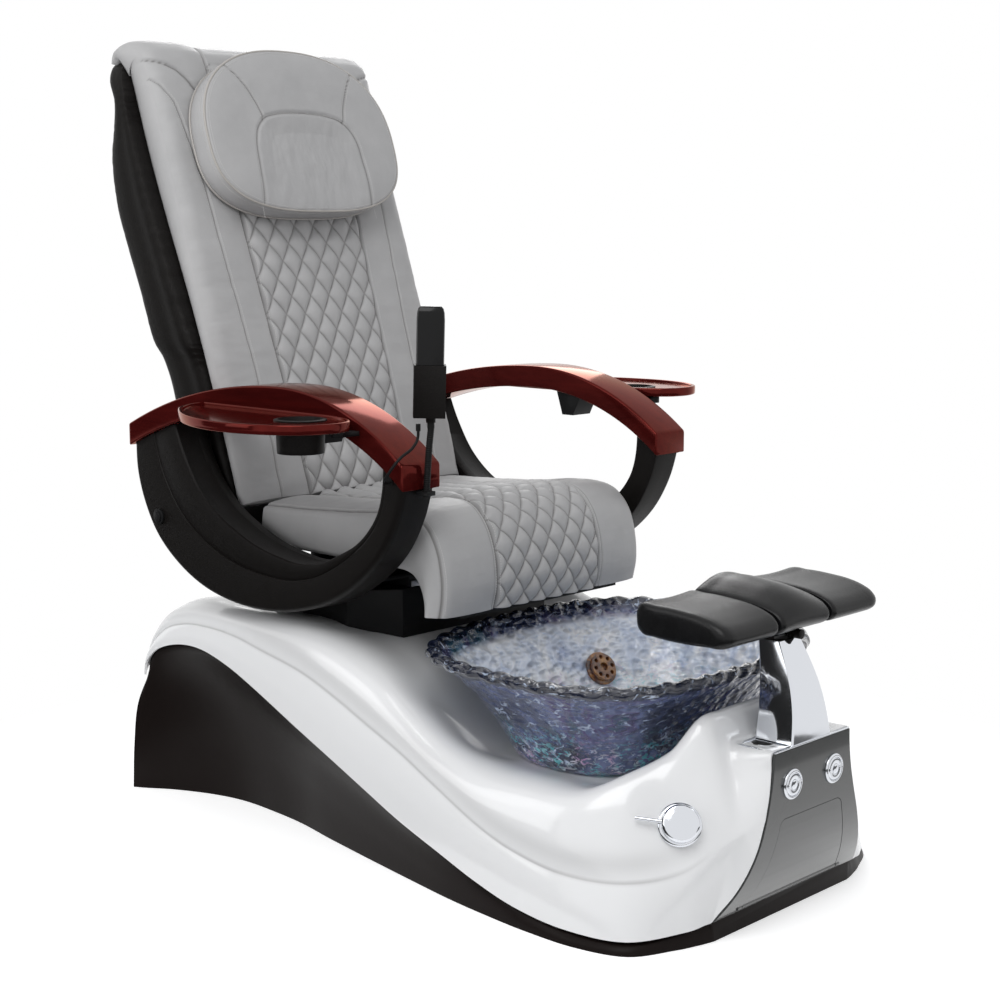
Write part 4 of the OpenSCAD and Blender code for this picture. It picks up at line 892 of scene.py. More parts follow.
def seat_seam_shade(u, x):
    """Painted shade in the seat's seam and quilting valleys, from 0 to 1."""
    q, d = SEAT_QUILT, abs(x)
    s = max(seam_shade_line(d - q, 2.2), seam_shade_line(d - (SEAT_W / 2 - 9)), .5 * seam_shade_line(d - q - 9, 1))
    if d < q - 2:
        s = max(s, quilt_shade_line(x / (q / 6), u / (len(SEAT_OUTER) - 1) * SEAT_HALF_ROWS, q / 6))
    else:
        s = max(s, seam_shade_line((u - SEAM_CREST) * SEAT_PITCH))
    return s


def line_distance(x, s, line):
    """Distance from a point to a run of segments, on the +X side."""
    best = 1e9
    for (x0, s0), (x1, s1) in zip(line[:-1], line[1:]):
        dx, ds = x1 - x0, s1 - s0
        t = clamp(((x - x0) * dx + (s - s0) * ds) / (dx * dx + ds * ds))
        best = min(best, math.hypot(x - x0 - t * dx, s - s0 - t * ds))
    return best


def back_line(z, off=0):
    """Point (y, z) on the back's leaning face line, moved off it to the rear."""
    y = 527.5 + math.tan(BACK_LEAN) * (z - 1150)
    return np.array([y + math.cos(BACK_LEAN) * off, z - math.sin(BACK_LEAN) * off])


BACK_Z0, BACK_Z1 = 604, 1428
BACK_ZS = [lerp(BACK_Z0, BACK_Z1, i / 6) for i in range(7)]
BACK_OUTER = [back_line(z) + [8 if i == 0 else 0, 0] for i, z in enumerate(BACK_ZS)] + [
    np.array(p, float) for p in ((650, 1463), (690, 1472), (723, 1464), (733, 1440))]
BACK_UNDER = [back_line(z, t) for z, t in zip(BACK_ZS, (38, 38, 40, 48, 60, 68, 66))] + [
    np.array(p, float) for p in ((686, 1410), (699, 1432), (709, 1440), (718, 1431))]


def back_half(u):
    """Half the back's width, which grows toward the top."""
    return BACK_W / 2 + 13 * clamp((u - 5) / 3) ** 1.5


def back_quilt(u):
    """Half the width of the back's quilted panel."""
    return lerp(QUILT_W / 2 - 4, QUILT_W / 2 + 16, min(1, u / 4))


# edge of the panel that folds over the top, u along the back and x from its middle
BACK_FOLD = [(6.4, 306), (6.18, 292), (6.1, 276), (6.0, 250), (5.9, 230), (5.76, 212), (5.55, 190)]
# millimetres from one station of the back to the next, and the station where its quilting ends
BACK_PITCH, QUILT_END = 137, 6.1
# how far in from the edge the face's border is sewn, by u; near the top the seam runs out over the edge
BORDER_AT = [0, 1.8, 2.6, 3.28, 3.9, 4.28, 4.56, 4.83, 5.2, 5.44, 5.66, 5.9]
BORDER_IN = [78, 78, 73, 67, 62, 60, 55, 49, 41, 33, 14, -20]


def back_border(u):
    return back_half(u) - np.interp(u, BORDER_AT, BORDER_IN)


def fold_distance(u, x):
    if not 5.5 < u < 6.5 or x < 180:
        return 99
    return line_distance(x, u * BACK_PITCH, [(fx, fu * BACK_PITCH) for fu, fx in BACK_FOLD])


def back_height(u, x):
    """Height over the outer line: crown, side panel and rounded edge, then the seams, quilting and folds."""
    w, q, d = back_half(u), back_quilt(u), abs(x)
    crown = 6 if u < 6 else 6 - 6 * min(1, (u - 6) / 3)
    e = d / w
    h = crown * (1 - e * e)
    if d > q:
        h += 7 * (1 - abs(2 * (d - q) / (w - q) - 1) ** 2.4)
    h -= 9 * max(0, (d - (w - 30)) / 30) ** 2.2
    h += groove(d - q, 3.4, 7) + groove(d - back_border(u), 2.6, 2.4) + groove(fold_distance(u, d), 5, 5)
    if u < QUILT_END and d < q - 2:
        fade = min(1, (q - 2 - d) / 9) ** .6 * min(1, (QUILT_END - u) / .2)
        h += quilting(x / (q / 6), u * 4, QUILT_D + 3) * fade - 1.2
    out = along(BACK_OUTER, u)
    folds = 1.6 * fbm((x * .35, out[1], 7), 34) * clamp((d - q) / 25)
    return h + folds + .8 * fbm((x, out[0], out[1]), 70)


def back_seam_shade(u, x):
    """Painted shade in the back's seam, fold and quilting valleys, from 0 to 1."""
    q, d = back_quilt(u), abs(x)
    s = max(seam_shade_line(d - q, 2), .75 * seam_shade_line(d - back_border(u), 1.2),
            .9 * seam_shade_line(fold_distance(u, d), 2))
    if u < QUILT_END and d < q - 2:
        s = max(s, quilt_shade_line(x / (q / 6), u * 4, q / 6))
    return s


def cushion_run(cushion, uv, lift=.15):
    """Points and normals of a run of thread over a cushion's face."""
    pts = [cushion.surface(u, x, lift) for u, x in uv]
    nrm = [np.array([0, *cushion.frame_at(u)[1]]) for u, x in uv]
    return pts, nrm


def make_seat():
    rows = np.linspace(0, len(SEAT_OUTER) - 1, 300)
    cushion = Cushion(SEAT_OUTER, SEAT_UNDER, rows, lambda u: SEAT_W / 2, seat_height, seat_seam_shade)
    obj = cushion.build("seat_leather", "chair", ["seat_cushion"])
    runs = []
    for side in (-1, 1):
        for x in (SEAT_QUILT + 5.5, SEAT_QUILT - 5, SEAT_W / 2 - 14):
            runs.append(cushion_run(cushion, [(u, side * x) for u in np.linspace(.1, 8.9, 160)]))
        runs.append(cushion_run(cushion, [(SEAM_CREST - .09, side * x)
                                          for x in np.linspace(SEAT_QUILT + 8, SEAT_W / 2 - 18, 30)]))
    stitches("seat_thread", runs, "chair")


def make_back():
    rows = np.concatenate([np.linspace(0, 6, 330), np.linspace(6, 10, 90)[1:]])
    cushion = Cushion(BACK_OUTER, BACK_UNDER, rows, back_half, back_height, back_seam_shade)
    obj = cushion.build("back_leather", "backrest", ["back_cushion"])
    runs = []
    us = np.linspace(.1, 9.8, 260)
    for side in (-1, 1):
        for offset in (5, -4):
            runs.append(cushion_run(cushion, [(u, side * (back_border(u) - offset)) for u in us if u < 5.6]))
        for offset in (6, -5.5):
            runs.append(cushion_run(cushion, [(u, side * (back_quilt(u) + offset)) for u in us]))
    stitches("back_thread", runs, "backrest")


make_seat()
make_back()


# ---------- headrest pillow ----------
PILLOW_W, PILLOW_H, PILLOW_Z0, PILLOW_OFF = 486, 338, 1127, 13.3
PILLOW_EDGE, PILLOW_MID = 54, PILLOW_H * .44
FACE_DIR = np.array([math.sin(BACK_LEAN), math.cos(BACK_LEAN)])
FACE_N = np.array([-math.cos(BACK_LEAN), math.sin(BACK_LEAN)])
FACE_NORMAL = np.array([0, *FACE_N])
PIPING_R = 2.3


def make_piping(name, points):
    """A sewn cord of leather along a closed seam."""
    pts = np.asarray(points[:-1], float)
    ahead = np.roll(pts, -1, axis=0) - np.roll(pts, 1, axis=0)
    rings = []
    for p, d in zip(pts, ahead):
        d = unit(d)
        side = unit(np.cross(d, FACE_NORMAL))
        up = np.cross(side, d)
        rings.append([p + PIPING_R * (math.cos(a) * side + math.sin(a) * up) for a in circle(10)])
    verts = np.array(rings).reshape(-1, 3)
    n, m = len(rings), 10
    faces = [(i * m + j, (i + 1) % n * m + j, (i + 1) % n * m + (j + 1) % m, i * m + (j + 1) % m)
             for i in range(n) for j in range(m)]
    face_outward(piece(name, verts, faces, PIPING, "pillow"))


def pillow_at(x, s, h):
    """Point at x across, s up the back from the pillow's foot and h off the pillow's rear."""
    b = back_line(PILLOW_Z0) + FACE_DIR * s + FACE_N * (PILLOW_OFF + h)
    return np.array([x, b[0], b[1]])


def pillow_radius(a):
    up = math.sin(a) > 0
    hx, hs, n = PILLOW_W / 2, PILLOW_H * (.56 if up else .44), 2.35 if up else 2.9
    return ((abs(math.cos(a)) / hx) ** n + (abs(math.sin(a)) / hs) ** n) ** (-1 / n)


# the sewn patch from its lower corner over the top (x, s), mirrored, and the seams that run out from it
PATCH = [(141, -12), (139, 40), (136, 95), (131, 140), (119, 170), (100, 188), (66, 198), (0, 203)]
RAY = [(104, 186), (113, 216), (128, 248), (146, 276), (166, 300)]
PATCH_LINE = [tuple(p) for p in through(PATCH, 40)]
RAY_LINE = [tuple(p) for p in through(RAY, 26)]


def inside_patch(x, s):
    if s >= PATCH[-1][1]:
        return False
    return abs(x) < np.interp(s, [p[1] for p in PATCH_LINE], [p[0] for p in PATCH_LINE])


def pillow_face(x, s, rho):
    """Height of the face over the back at rho, 0 in the middle and 1 at the edge."""
    ax = abs(x)
    to_patch = line_distance(ax, s, PATCH_LINE)
    h = PILLOW_EDGE + 14 * (1 - rho ** 5) ** .7
    if inside_patch(x, s):
        h -= 9 * min(1, to_patch / 40) * (1 - rho ** 5)
        h += 2.2 * fbm((x, s * .4, 3), 30) * min(1, to_patch / 25)
    h += groove(to_patch, 4, 4.5) + groove(line_distance(ax, s, RAY_LINE), 3, 2.6)
    return h + 1.5 * fbm((x, s, 11), 60) * (1 - rho ** 5)


# painted shade in the valleys of the patch's and rays' seams, from 0 to 1
def pillow_seam_shade(x, s):
    ax = abs(x)
    near = min(line_distance(ax, s, PATCH_LINE), line_distance(ax, s, RAY_LINE))
    return .9 * seam_shade_line(near, 1.2)


PILLOW_COLUMNS, PILLOW_ROWS = 400, 110


def face_run(points):
    """Points and normals of a run of thread over the pillow's face."""
    pts = []
    for x, s in points:
        a = math.atan2(s - PILLOW_MID, x)
        rho = math.hypot(x, s - PILLOW_MID) / pillow_radius(a)
        pts.append(pillow_at(x, s, pillow_face(x, s, min(rho, 1)) + .2))
    return pts, [FACE_NORMAL] * len(pts)


def make_pillow():
    """The pillow: rear edge and side wall, then the face's rings in to its middle, with thread and piping."""
    rings, seam_shades = [], []
    side = [(.93, 0), (.972, 2), (.982, 8), (.99, 24), (.994, 40), (.993, 50), (.985, PILLOW_EDGE - 1)]
    for k in range(len(side) + PILLOW_ROWS):
        ring, marks = [], []
        for j in range(PILLOW_COLUMNS):
            a = 2 * math.pi * j / PILLOW_COLUMNS
            r = pillow_radius(a)
            if k < len(side):
                t, h = side[k]
                x, s = r * t * math.cos(a), PILLOW_MID + r * t * math.sin(a)
                marks.append(0)
            else:
                rho = .975 * (1 - (k - len(side)) / PILLOW_ROWS) + .0001
                x, s = r * rho * math.cos(a), PILLOW_MID + r * rho * math.sin(a)
                h = pillow_face(x, s, rho)
                marks.append(pillow_seam_shade(x, s))
            ring.append(pillow_at(x, s, h))
        rings.append(ring)
        seam_shades.append(marks)
    obj = loft("pillow_leather", rings, LEATHER, "pillow", ["pillow"])
    # painted shade in the seam valleys, read by the leather
    mark_points(obj, "seam", seam_shades)
    runs = []
    for sign in (-1, 1):
        runs.append(face_run([(sign * (p[0] + 5), p[1]) for p in PATCH_LINE]))
        for gap in (-4, 4):
            runs.append(face_run([(sign * (x + gap), s - gap * .4) for x, s in RAY_LINE[1:-2]]))
    turns = np.linspace(0, 2 * math.pi, 240)
    rim = [(pillow_radius(a) * math.cos(a), pillow_radius(a) * math.sin(a)) for a in turns]

    def around(share, h):
        return [pillow_at(x * share, PILLOW_MID + y * share, h) for x, y in rim]

    runs.append(face_run([(x * .955, PILLOW_MID + y * .955) for x, y in rim]))
    outward = [np.array([math.cos(a), *(FACE_DIR * math.sin(a))]) for a in turns]
    runs += [(around(.998, h), outward) for h in (PILLOW_EDGE - 9, 9)]
    stitches("pillow_thread", runs, "pillow")
    make_piping("pillow_piping_front", around(.988, PILLOW_EDGE))
    make_piping("pillow_piping_rear", around(.98, 3))


FLAP_W, FLAP_S, FLAP_H, FLAP_LONG, FLAP_THICK = 120, PILLOW_H - 12, 7.5 - PILLOW_OFF, 20, 2.6


def make_flap():
    """The strip of leather by which the pillow hangs, with rounded edges and two rows of stitches."""
    rows = []
    for x in np.linspace(-FLAP_W / 2, FLAP_W / 2, 61):
        narrow = 2.5 * abs(2 * x / FLAP_W) ** 10
        ring = []
        for a in circle(32):
            c, t = math.cos(a), math.sin(a)
            s = FLAP_S + (FLAP_LONG / 2 - narrow) * math.copysign(abs(c) ** .4, c)
            ring.append(pillow_at(x, s, FLAP_H + FLAP_THICK / 2 * math.copysign(abs(t) ** .7, t)))
        rows.append(ring)
    loft("flap_leather", rows, LEATHER, "pillow", ["pillow_flap"])
    xs = np.linspace(-FLAP_W / 2 + 4, FLAP_W / 2 - 4, 40)
    runs = [([pillow_at(x, FLAP_S + side * 7, FLAP_H + FLAP_THICK / 2 - .1) for x in xs],
             [FACE_NORMAL] * len(xs)) for side in (-1, 1)]
    stitches("flap_thread", runs, "pillow")


make_pillow()
make_flap()


# ---------- footrest pads ----------
PADS_W, PADS_D, PAD_GAP = 436, 186, 7
FOOT_Y = lerp(FRONT_Y + 50, FRONT_Y + 93, .5)
FOOT_Z = BLOCK_Z + 3.8 + 158 + .04 + 9
PAD_BOTTOM, PADS_Y = FOOT_Z + 10, FOOT_Y + 39
PAD_SPLIT = PADS_W * .165
# section of a pad, as shares of half its depth (forward is +) and of its height
PAD_PROFILE = [(-.97, .22), (-1, .5), (-.985, .78), (-.91, .95), (-.55, 1), (0, .97), (.4, .9), (.7, .77),
               (.9, .6), (1, .38), (.99, .2), (.88, .04), (.6, 0), (-.6, 0), (-.87, .05)]
# rings toward an end of a pad: distance in from the end, share of its height, and how far the section shrinks
SQUARE_END = [(1, .8, 8), (1.2, .9, 4.5), (3, .955, 2), (7, .99, .3)]
ROUND_END = [(0, .58, 27), (.8, .72, 18), (3.5, .86, 10), (8, .95, 4.5), (15, .99, 1.4)]


def pad_top(x):
    u = abs(x)
    if u < PAD_SPLIT:
        return 52 + 21 * math.cos(u / PAD_SPLIT * math.pi / 2) ** 1.2
    return 55 - 4 * math.sin(math.pi * min(1, (u - PAD_SPLIT) / (PADS_W / 2 - PAD_SPLIT)))


def pad_ring(x, k, e):
    t, h = pad_top(x), PADS_D / 2 - e
    return np.array([[x, PADS_Y - a * h, PAD_BOTTOM + lerp(t * .4, b * t, k)] for a, b in PAD_PROFILE])


def pad_end(x, inward):
    """Rings and the inset of the straight part at one end, round at the footrest's own ends."""
    rounded = abs(x) > PAD_SPLIT + PAD_GAP
    rings = [pad_ring(x + inward * d, k, e) for d, k, e in (ROUND_END if rounded else SQUARE_END)]
    return rings, x + inward * (26 if rounded else 12)


def make_pad(name, x0, x1, replaced):
    (left, a), (right, b) = pad_end(x0, 1), pad_end(x1, -1)
    rows = left + [pad_ring(lerp(a, b, i / 14), 1, 0) for i in range(15)] + right[::-1]
    around = 90
    dense = [through(r, around, closed=True) for r in rows]
    fine = np.array([through([d[j] for d in dense], 120) for j in range(around)]).transpose(1, 0, 2)
    obj = loft(name, fine, PU, "footrest", [replaced])


make_pad("pad_skin_right", -PADS_W / 2, -PAD_SPLIT - PAD_GAP / 2, "footrest_pad_right")
make_pad("pad_skin_middle", -PAD_SPLIT + PAD_GAP / 2, PAD_SPLIT - PAD_GAP / 2, "footrest_pad_middle")
make_pad("pad_skin_left", PAD_SPLIT + PAD_GAP / 2, PADS_W / 2, "footrest_pad_left")


# ---------- arm frames and armrests ----------
ARMS_W, ARM_T, ARMREST_W, ARMREST_T, ARMREST_Z, REST_OVER = 740, 72, 88, 43, 842, 7
ARM_PAIRS = [((476, 800), (592, 790)), ((463, 761), (590, 715)), ((437, 706), (586, 650)),
             ((397, 646), (563, 587)), ((345, 601), (522, 529)), ((286, 571), (455, 480)),
             ((225, 549), (375, 447)), ((165, 537), (280, 431)), ((105, 531), (180, 432)),
             ((50, 539), (88, 449)), ((0, 560), (10, 478)), ((-42, 582), (-60, 523)),
             ((-74, 610), (-110, 571)), ((-98, 643), (-144, 626)), ((-110, 680), (-163, 680)),
             ((-114, 725), (-169, 725)), ((-114, 800), (-170, 800))]
# share of the frame's width at which the grained cover ends
ARM_SEAM = [.5, .5, .49, .47, .45, .43, .4, .37, .34, .3, .25, .19, .13, .09, .06, .05, .05]
ARM_EDGE = 12
REST_Y0, REST_Y1 = -171.5, 595.5


# where the armrests are highest, and the radii of their tops to the rear and to the front of it
REST_CREST, REST_REAR_R, REST_FRONT_R = 147.5, 1083, 507


def rest_top(y):
    r = REST_REAR_R if y > REST_CREST else REST_FRONT_R
    return ARMREST_Z - r + math.sqrt(r * r - (y - REST_CREST) ** 2)


def arm_section(u):
    """Section of an arm frame: s runs from the inner line to the outer one, o across the frame, outward."""
    p, q = along(np.array(ARM_PAIRS, float), u)
    t, d, h = np.linalg.norm(q - p), unit(q - p), ARM_T / 2
    x0 = ARMS_W / 2 - h
    seam = max(t * along(ARM_SEAM, u), 11)
    step, trough = 1.6 * clamp((13 - u) / 3), 1.8 * clamp((14 - u) / 3)
    line = [(0, -h + 6), (0, -h + 20), (.2, -h + 22), (trough, -h + 24), (trough, h - 8), (.6, h - 4.5),
            (3, h - 1.2), (6, h - .4)]
    line += [(seam - 2, h - step), (seam - .8, h - step - .6), (seam + .4, h - .4), (seam + 3, h)]
    for k in range(13):
        e = math.pi / 2 * k / 12
        line.append((t - ARM_EDGE + ARM_EDGE * math.sin(e), h - ARM_EDGE + ARM_EDGE * math.cos(e)))
    line += [(t, h - ARM_EDGE - 4), (t, 0), (t, -h + 6), (t - 1, -h + 2), (t - 4, -h), (t * .5, -h), (8, -h),
             (2, -h + 1.5)]
    return np.array([[x0 + o, *(p + d * s)] for s, o in line])


def make_arm(side, sign):
    """An arm frame's skin, cut off just under its armrest."""
    rows = [arm_section(u) * [sign, 1, 1] for u in np.linspace(0, len(ARM_PAIRS) - 1, 150)]
    for ring in rows:
        ring[:, 2] = [min(z, rest_top(min(max(y, -300), 650)) - ARMREST_T - .5) for x, y, z in ring]
    obj = loft("arm_skin_" + side, rows, BLACK_GRAIN, "chair", ["arm_frame_" + side])
    smooth_by_angle(obj, 38)


def corner_ring(cx, w, y, top, t, r):
    """Rounded rectangle across an armrest at y."""
    pts = []
    for ox, oz, a0 in ((1, 1, 0), (-1, 1, 90), (-1, -1, 180), (1, -1, 270)):
        rr = r if oz > 0 else r * .6
        c = np.array([cx + ox * (w - rr), top - rr if oz > 0 else top - t + rr])
        for k in range(6):
            a = math.radians(a0 + 90 * k / 5)
            pts.append([c[0] + rr * math.cos(a), y, c[1] + rr * math.sin(a)])
    return np.array(pts)


def make_armrest(side, sign):
    """A bent armrest with softened ends."""
    cx = ARMS_W / 2 + REST_OVER - ARMREST_W / 2
    w = ARMREST_W / 2
    ends = [(0, 2.2), (.7, .9), (2.2, 0)]
    ys = [(REST_Y0 + d, e) for d, e in ends] + [(y, 0) for y in np.linspace(REST_Y0 + 6, REST_Y1 - 6, 90)]
    ys += [(REST_Y1 - d, e) for d, e in ends[::-1]]
    rows = []
    for y, e in ys:
        ring = corner_ring(cx, w - e, y, rest_top(y) - e, ARMREST_T - 2 * e, 4.5)
        rows.append(ring * [sign, 1, 1])
    obj = loft("armrest_wood_" + side, rows, MAHOGANY, "chair", ["armrest_" + side])
    smooth_by_angle(obj, 50)


SIDES = (("right", -1), ("left", 1))
for side, sign in SIDES:
    make_arm(side, sign)
    make_armrest(side, sign)


# ---------- side trays ----------
TRAY_Z, TRAY_T, CUP_D = 803, 17, 76
TRAY_IN = ARMS_W / 2 + REST_OVER + .6
CUP_AT = (TRAY_IN + 62, 10)
TRAY_LINE = [(0, 2), (7, -34), (24, -70), (50, -98), (92, -107), (140, -88), (178, -38), (198, 30),
             (194, 110), (168, 192), (126, 264), (76, 322), (34, 349), (0, 354)]


def tray_loop(d):
    """Outline of the tray moved in by d, with its straight inner side."""
    p = through(TRAY_LINE, 110)
    tangent = np.gradient(p, axis=0)
    tangent /= np.linalg.norm(tangent, axis=1)[:, None]
    q = p + d * np.stack([-tangent[:, 1], tangent[:, 0]], 1)
    q[:, 0] = np.maximum(q[:, 0], d)
    inner = np.array([[d, y] for y in np.linspace(q[-1][1], q[0][1], 26)[1:-1]])
    return np.vstack([q, inner]) + [TRAY_IN, 0]


def make_tray(side, sign):
    """A tray with a raised lip and the hole for its drink holder."""
    bottom, top = TRAY_Z - TRAY_T, TRAY_Z
    profile = [(3, bottom), (.9, bottom + .8), (.1, bottom + 2.6), (0, bottom + 8), (0, top - 3),
               (.6, top - .9), (2, top - .1), (5.2, top), (6.8, top - .5), (7.6, top - 2), (8.4, top - 4.4),
               (10, top - 5), (26, top - 5)]
    rows = []
    for d, z in profile:
        loop = tray_loop(d)
        rows.append(np.column_stack([loop[:, 0] * sign, loop[:, 1], np.full(len(loop), z)]))
    obj = loft("tray_wood_" + side, rows, MAHOGANY, "tray_" + side, ["tray_" + side])
    bpy.ops.mesh.primitive_cylinder_add(vertices=96, radius=(CUP_D / 2 + 4) * MM, depth=.1,
                                        location=(CUP_AT[0] * sign * MM, CUP_AT[1] * MM, TRAY_Z * MM))
    apply_difference(obj, bpy.context.object)
    smooth_by_angle(obj, 50)


for side, sign in SIDES:
    make_tray(side, sign)


# ---------- back shell ----------
SHELL_REAR = [(518, 506, 270), (552, 530, 284), (562, 620, 288), (570, 720, 288), (584, 800, 288),
              (606, 862, 293), (626, 905, 305), (655, 995, 309), (697, 1090, 309), (725, 1165, 309),
              (735, 1250, 309), (723, 1320, 308), (721, 1362, 307), (738, 1400, 304), (738.5, 1424, 298),
              (736, 1434, 290)]
UNDER_DENSE = np.array([along(BACK_UNDER, u) for u in np.linspace(0, 7.4, 75)])
# the notches that let the shell's lower part down between the arm frames
NOTCH_Y, NOTCH_Z, NOTCH_OUT = (442.5, 582.5), (400, 690), 400


def under_y(z):
    """Rear face of the back cushion at a height."""
    i = np.argmax(UNDER_DENSE[:, 1] >= z) if UNDER_DENSE[-1][1] >= z else len(UNDER_DENSE) - 1
    return UNDER_DENSE[i][0]


def shell_section(u):
    """Level section of the back shell, from the cushion's rear face to the shell's own."""
    y1, z, w = along(SHELL_REAR, u)
    y0 = (back_line(600, 38)[0] if z < 600 else under_y(z)) + 3
    d = y1 - y0
    half = [[w - 9, y0], [w - 3, y0 + 2], [w, y0 + 8], [w, y0 + d * .4], [w, y0 + d * .72],
            [w - 5, y0 + d * .93], [w - 18, y1], [w * .5, y1 + 1], [0, y1 + 1]]
    half = through(half, 44)
    return across(np.column_stack([half, np.full(len(half), z)]))


def make_back_shell():
    rows = [shell_section(u) for u in np.linspace(0, len(SHELL_REAR) - 1, 140)]
    obj = loft("back_shell_skin", rows, BLACK_GRAIN, "backrest", ["back_shell"])
    arm_in = ARMS_W / 2 - ARM_T
    for sign in (-1, 1):
        cut_box(obj, sorted((sign * (arm_in - 13), sign * NOTCH_OUT)), NOTCH_Y, NOTCH_Z)
    smooth_by_angle(obj, 40)


make_back_shell()


# ---------- footrest tower ----------
def make_tower():
    """The tapered tower, its section a rounded rectangle that bows forward."""
    plate_top, height = BLOCK_Z + 3.8, 158
    rows = []
    for t in np.linspace(0, 1, 40):
        w = lerp(55, 29, t ** .9)
        f = lerp(FRONT_Y + 3, FRONT_Y + 50, t) - 11 * math.sin(math.pi * t)
        r = lerp(FRONT_Y + 77, FRONT_Y + 93, t) - 5 * math.sin(math.pi * t)
        ring, c = [], 3.2
        for ox, oy, a0 in ((w - c, r - c, 0), (-w + c, r - c, 90), (-w + c, f + c, 180), (w - c, f + c, 270)):
            for k in range(6):
                a = math.radians(a0 + 18 * k)
                ring.append([ox + c * math.cos(a), oy + c * math.sin(a), plate_top + .02 + height * t])
        rows.append(ring)
    obj = loft("tower_chrome", rows, CHROME, "base", ["footrest_tower"])
    smooth_by_angle(obj, 50)


make_tower()


# ---------- handset and gooseneck ----------
NECK = [(-330, REST_Y0 - 9.5, 676), (-330, REST_Y0 - 9.5, 688), (-330, REST_Y0 - 12, 720),
        (-329, REST_Y0 - 15, 760), (-326, REST_Y0 - 16, 788), (-326, REST_Y0 - 16, 800)]
NECK_R, RIB_PITCH, RIB_DEPTH, NECK_ROWS = 6, 3.6, .9, 260


def make_gooseneck():
    """The handset's stem with its ribbed middle."""
    rows, last = [], len(NECK) - 1
    for i in range(NECK_ROWS):
        u = last * i / (NECK_ROWS - 1)
        c = along(NECK, u)
        rib = RIB_DEPTH * (.5 - .5 * math.cos(2 * math.pi * (c[2] - NECK[0][2]) / RIB_PITCH))
        r = NECK_R - (rib if 1 < u < last - .9 else 0)
        rows.append([c + [r * math.cos(a), r * math.sin(a), 0] for a in circle(24)])
    loft("gooseneck_ribs", rows, BLACK_RUBBER, "chair", ["gooseneck"])


make_gooseneck()


# ---------- stage and light ----------
FLOOR_GLOW, FLOOR_NEAR, FLOOR_FAR, WORLD_LIGHT = .5, .75, 1.3, .55


def camera_or_mirror(tree):
    """1 for rays from the camera, and for those that metal or glass sends on."""
    path = tree.nodes.new("ShaderNodeLightPath")
    first, both = [node(tree, "ShaderNodeMath", operation="MAXIMUM") for k in range(2)]
    tree.links.new(path.outputs["Is Camera Ray"], first.inputs[0])
    tree.links.new(path.outputs["Is Glossy Ray"], first.inputs[1])
    tree.links.new(first.outputs["Value"], both.inputs[0])
    tree.links.new(path.outputs["Is Transmission Ray"], both.inputs[1])
    return both.outputs["Value"]


def emission(tree, strength):
    return node(tree, "ShaderNodeEmission", Color=(1, 1, 1, 1), Strength=strength).outputs["Emission"]


def mix_shader(tree, fac, low, high):
    n = tree.nodes.new("ShaderNodeMixShader")
    for socket, value in zip(n.inputs, (fac, low, high)):
        tree.links.new(value, socket)
    return n.outputs["Shader"]


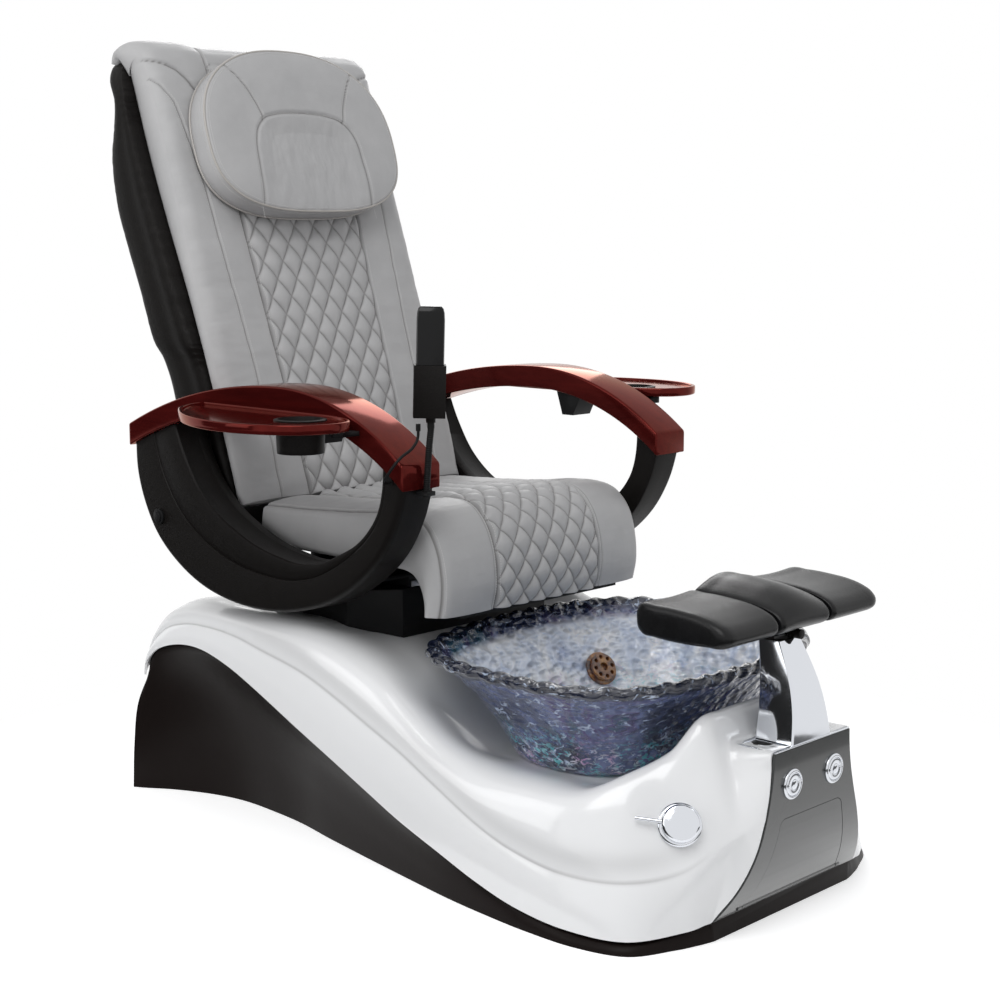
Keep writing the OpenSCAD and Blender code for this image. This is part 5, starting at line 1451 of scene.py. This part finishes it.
def make_stage():
    """A floor that keeps the chair's shadow near it and is plain white farther off."""
    bpy.ops.mesh.primitive_plane_add(size=30, location=(0, 0, 0))
    floor = bpy.context.object
    floor.name = "studio_floor"
    m = bpy.data.materials.new("studio_floor")
    m.use_nodes = True
    t = m.node_tree
    b = t.nodes["Principled BSDF"]
    b.inputs["Base Color"].default_value = (.9, .9, .9, 1)
    b.inputs["Roughness"].default_value = 1
    b.inputs["Specular IOR Level"].default_value = 0
    lit = t.nodes.new("ShaderNodeAddShader")
    t.links.new(b.outputs["BSDF"], lit.inputs[0])
    t.links.new(emission(t, FLOOR_GLOW), lit.inputs[1])
    coords = t.nodes.new("ShaderNodeTexCoord")
    radius = node(t, "ShaderNodeVectorMath", operation="LENGTH")
    t.links.new(coords.outputs["Object"], radius.inputs[0])
    fade = remap(t, radius.outputs["Value"], from_min=FLOOR_NEAR, from_max=FLOOR_FAR)
    seen = mix_shader(t, fade, lit.outputs["Shader"], emission(t, 1))
    mixed = mix_shader(t, camera_or_mirror(t), b.outputs["BSDF"], seen)
    t.links.new(mixed, t.nodes["Material Output"].inputs["Surface"])
    floor.data.materials.append(m)


def make_world():
    """White to the camera, to metal and to glass, and plain soft light to the rest."""
    w = bpy.data.worlds.new("studio")
    bpy.context.scene.world = w
    w.use_nodes = True
    t = w.node_tree
    back = t.nodes["Background"]
    back.inputs["Color"].default_value = (.97, .98, 1, 1)
    back.inputs["Strength"].default_value = WORLD_LIGHT
    white = node(t, "ShaderNodeBackground", Color=(1, 1, 1, 1), Strength=1.0)
    mixed = mix_shader(t, camera_or_mirror(t), back.outputs["Background"], white.outputs["Background"])
    t.links.new(mixed, t.nodes["World Output"].inputs["Surface"])


def make_flag(name, place, target, size, shade=.02):
    """A dark card that only reflections show, as a studio sets beside chrome and lacquer."""
    bpy.ops.mesh.primitive_plane_add(size=1, location=place)
    obj = bpy.context.object
    obj.name = name
    obj.scale = (*size, 1)
    aim(obj, place, target)
    m = bpy.data.materials.new(name)
    m.use_nodes = True
    t = m.node_tree
    t.links.new(emission(t, shade), t.nodes["Material Output"].inputs["Surface"])
    obj.data.materials.append(m)
    obj.visible_camera = obj.visible_diffuse = obj.visible_transmission = obj.visible_shadow = False


def make_lamp(name, place, target, size, power):
    data = bpy.data.lights.new(name, "AREA")
    data.shape, data.size, data.size_y, data.energy = "RECTANGLE", *size, power
    aim(add_object(name, data), place, target)


make_stage()
make_world()
make_flag("flag_left_rear", (-3.4, 2.6, .9), (0, 0, .5), (4.6, 2.6))
make_flag("flag_low_left", (-2.0, .6, .02), (-2.0, .6, -1), (3.0, 5.0), .05)
make_flag("flag_low_front", (-.4, -2.5, .02), (-.4, -2.5, -1), (3.6, 2.6), .12)
make_lamp("key_light", (-2.2, -1.2, 3.4), (0, 0, .6), (2.2, 2.2), 55)
make_lamp("side_light", (-3.4, 1.6, 1.9), (0, 0, .7), (1.6, 2.4), 26)
make_lamp("rim_light", (2.4, 2.6, 2.6), (0, 0, .9), (2.0, 2.0), 45)
bpy.context.scene.view_settings.view_transform = "Standard"
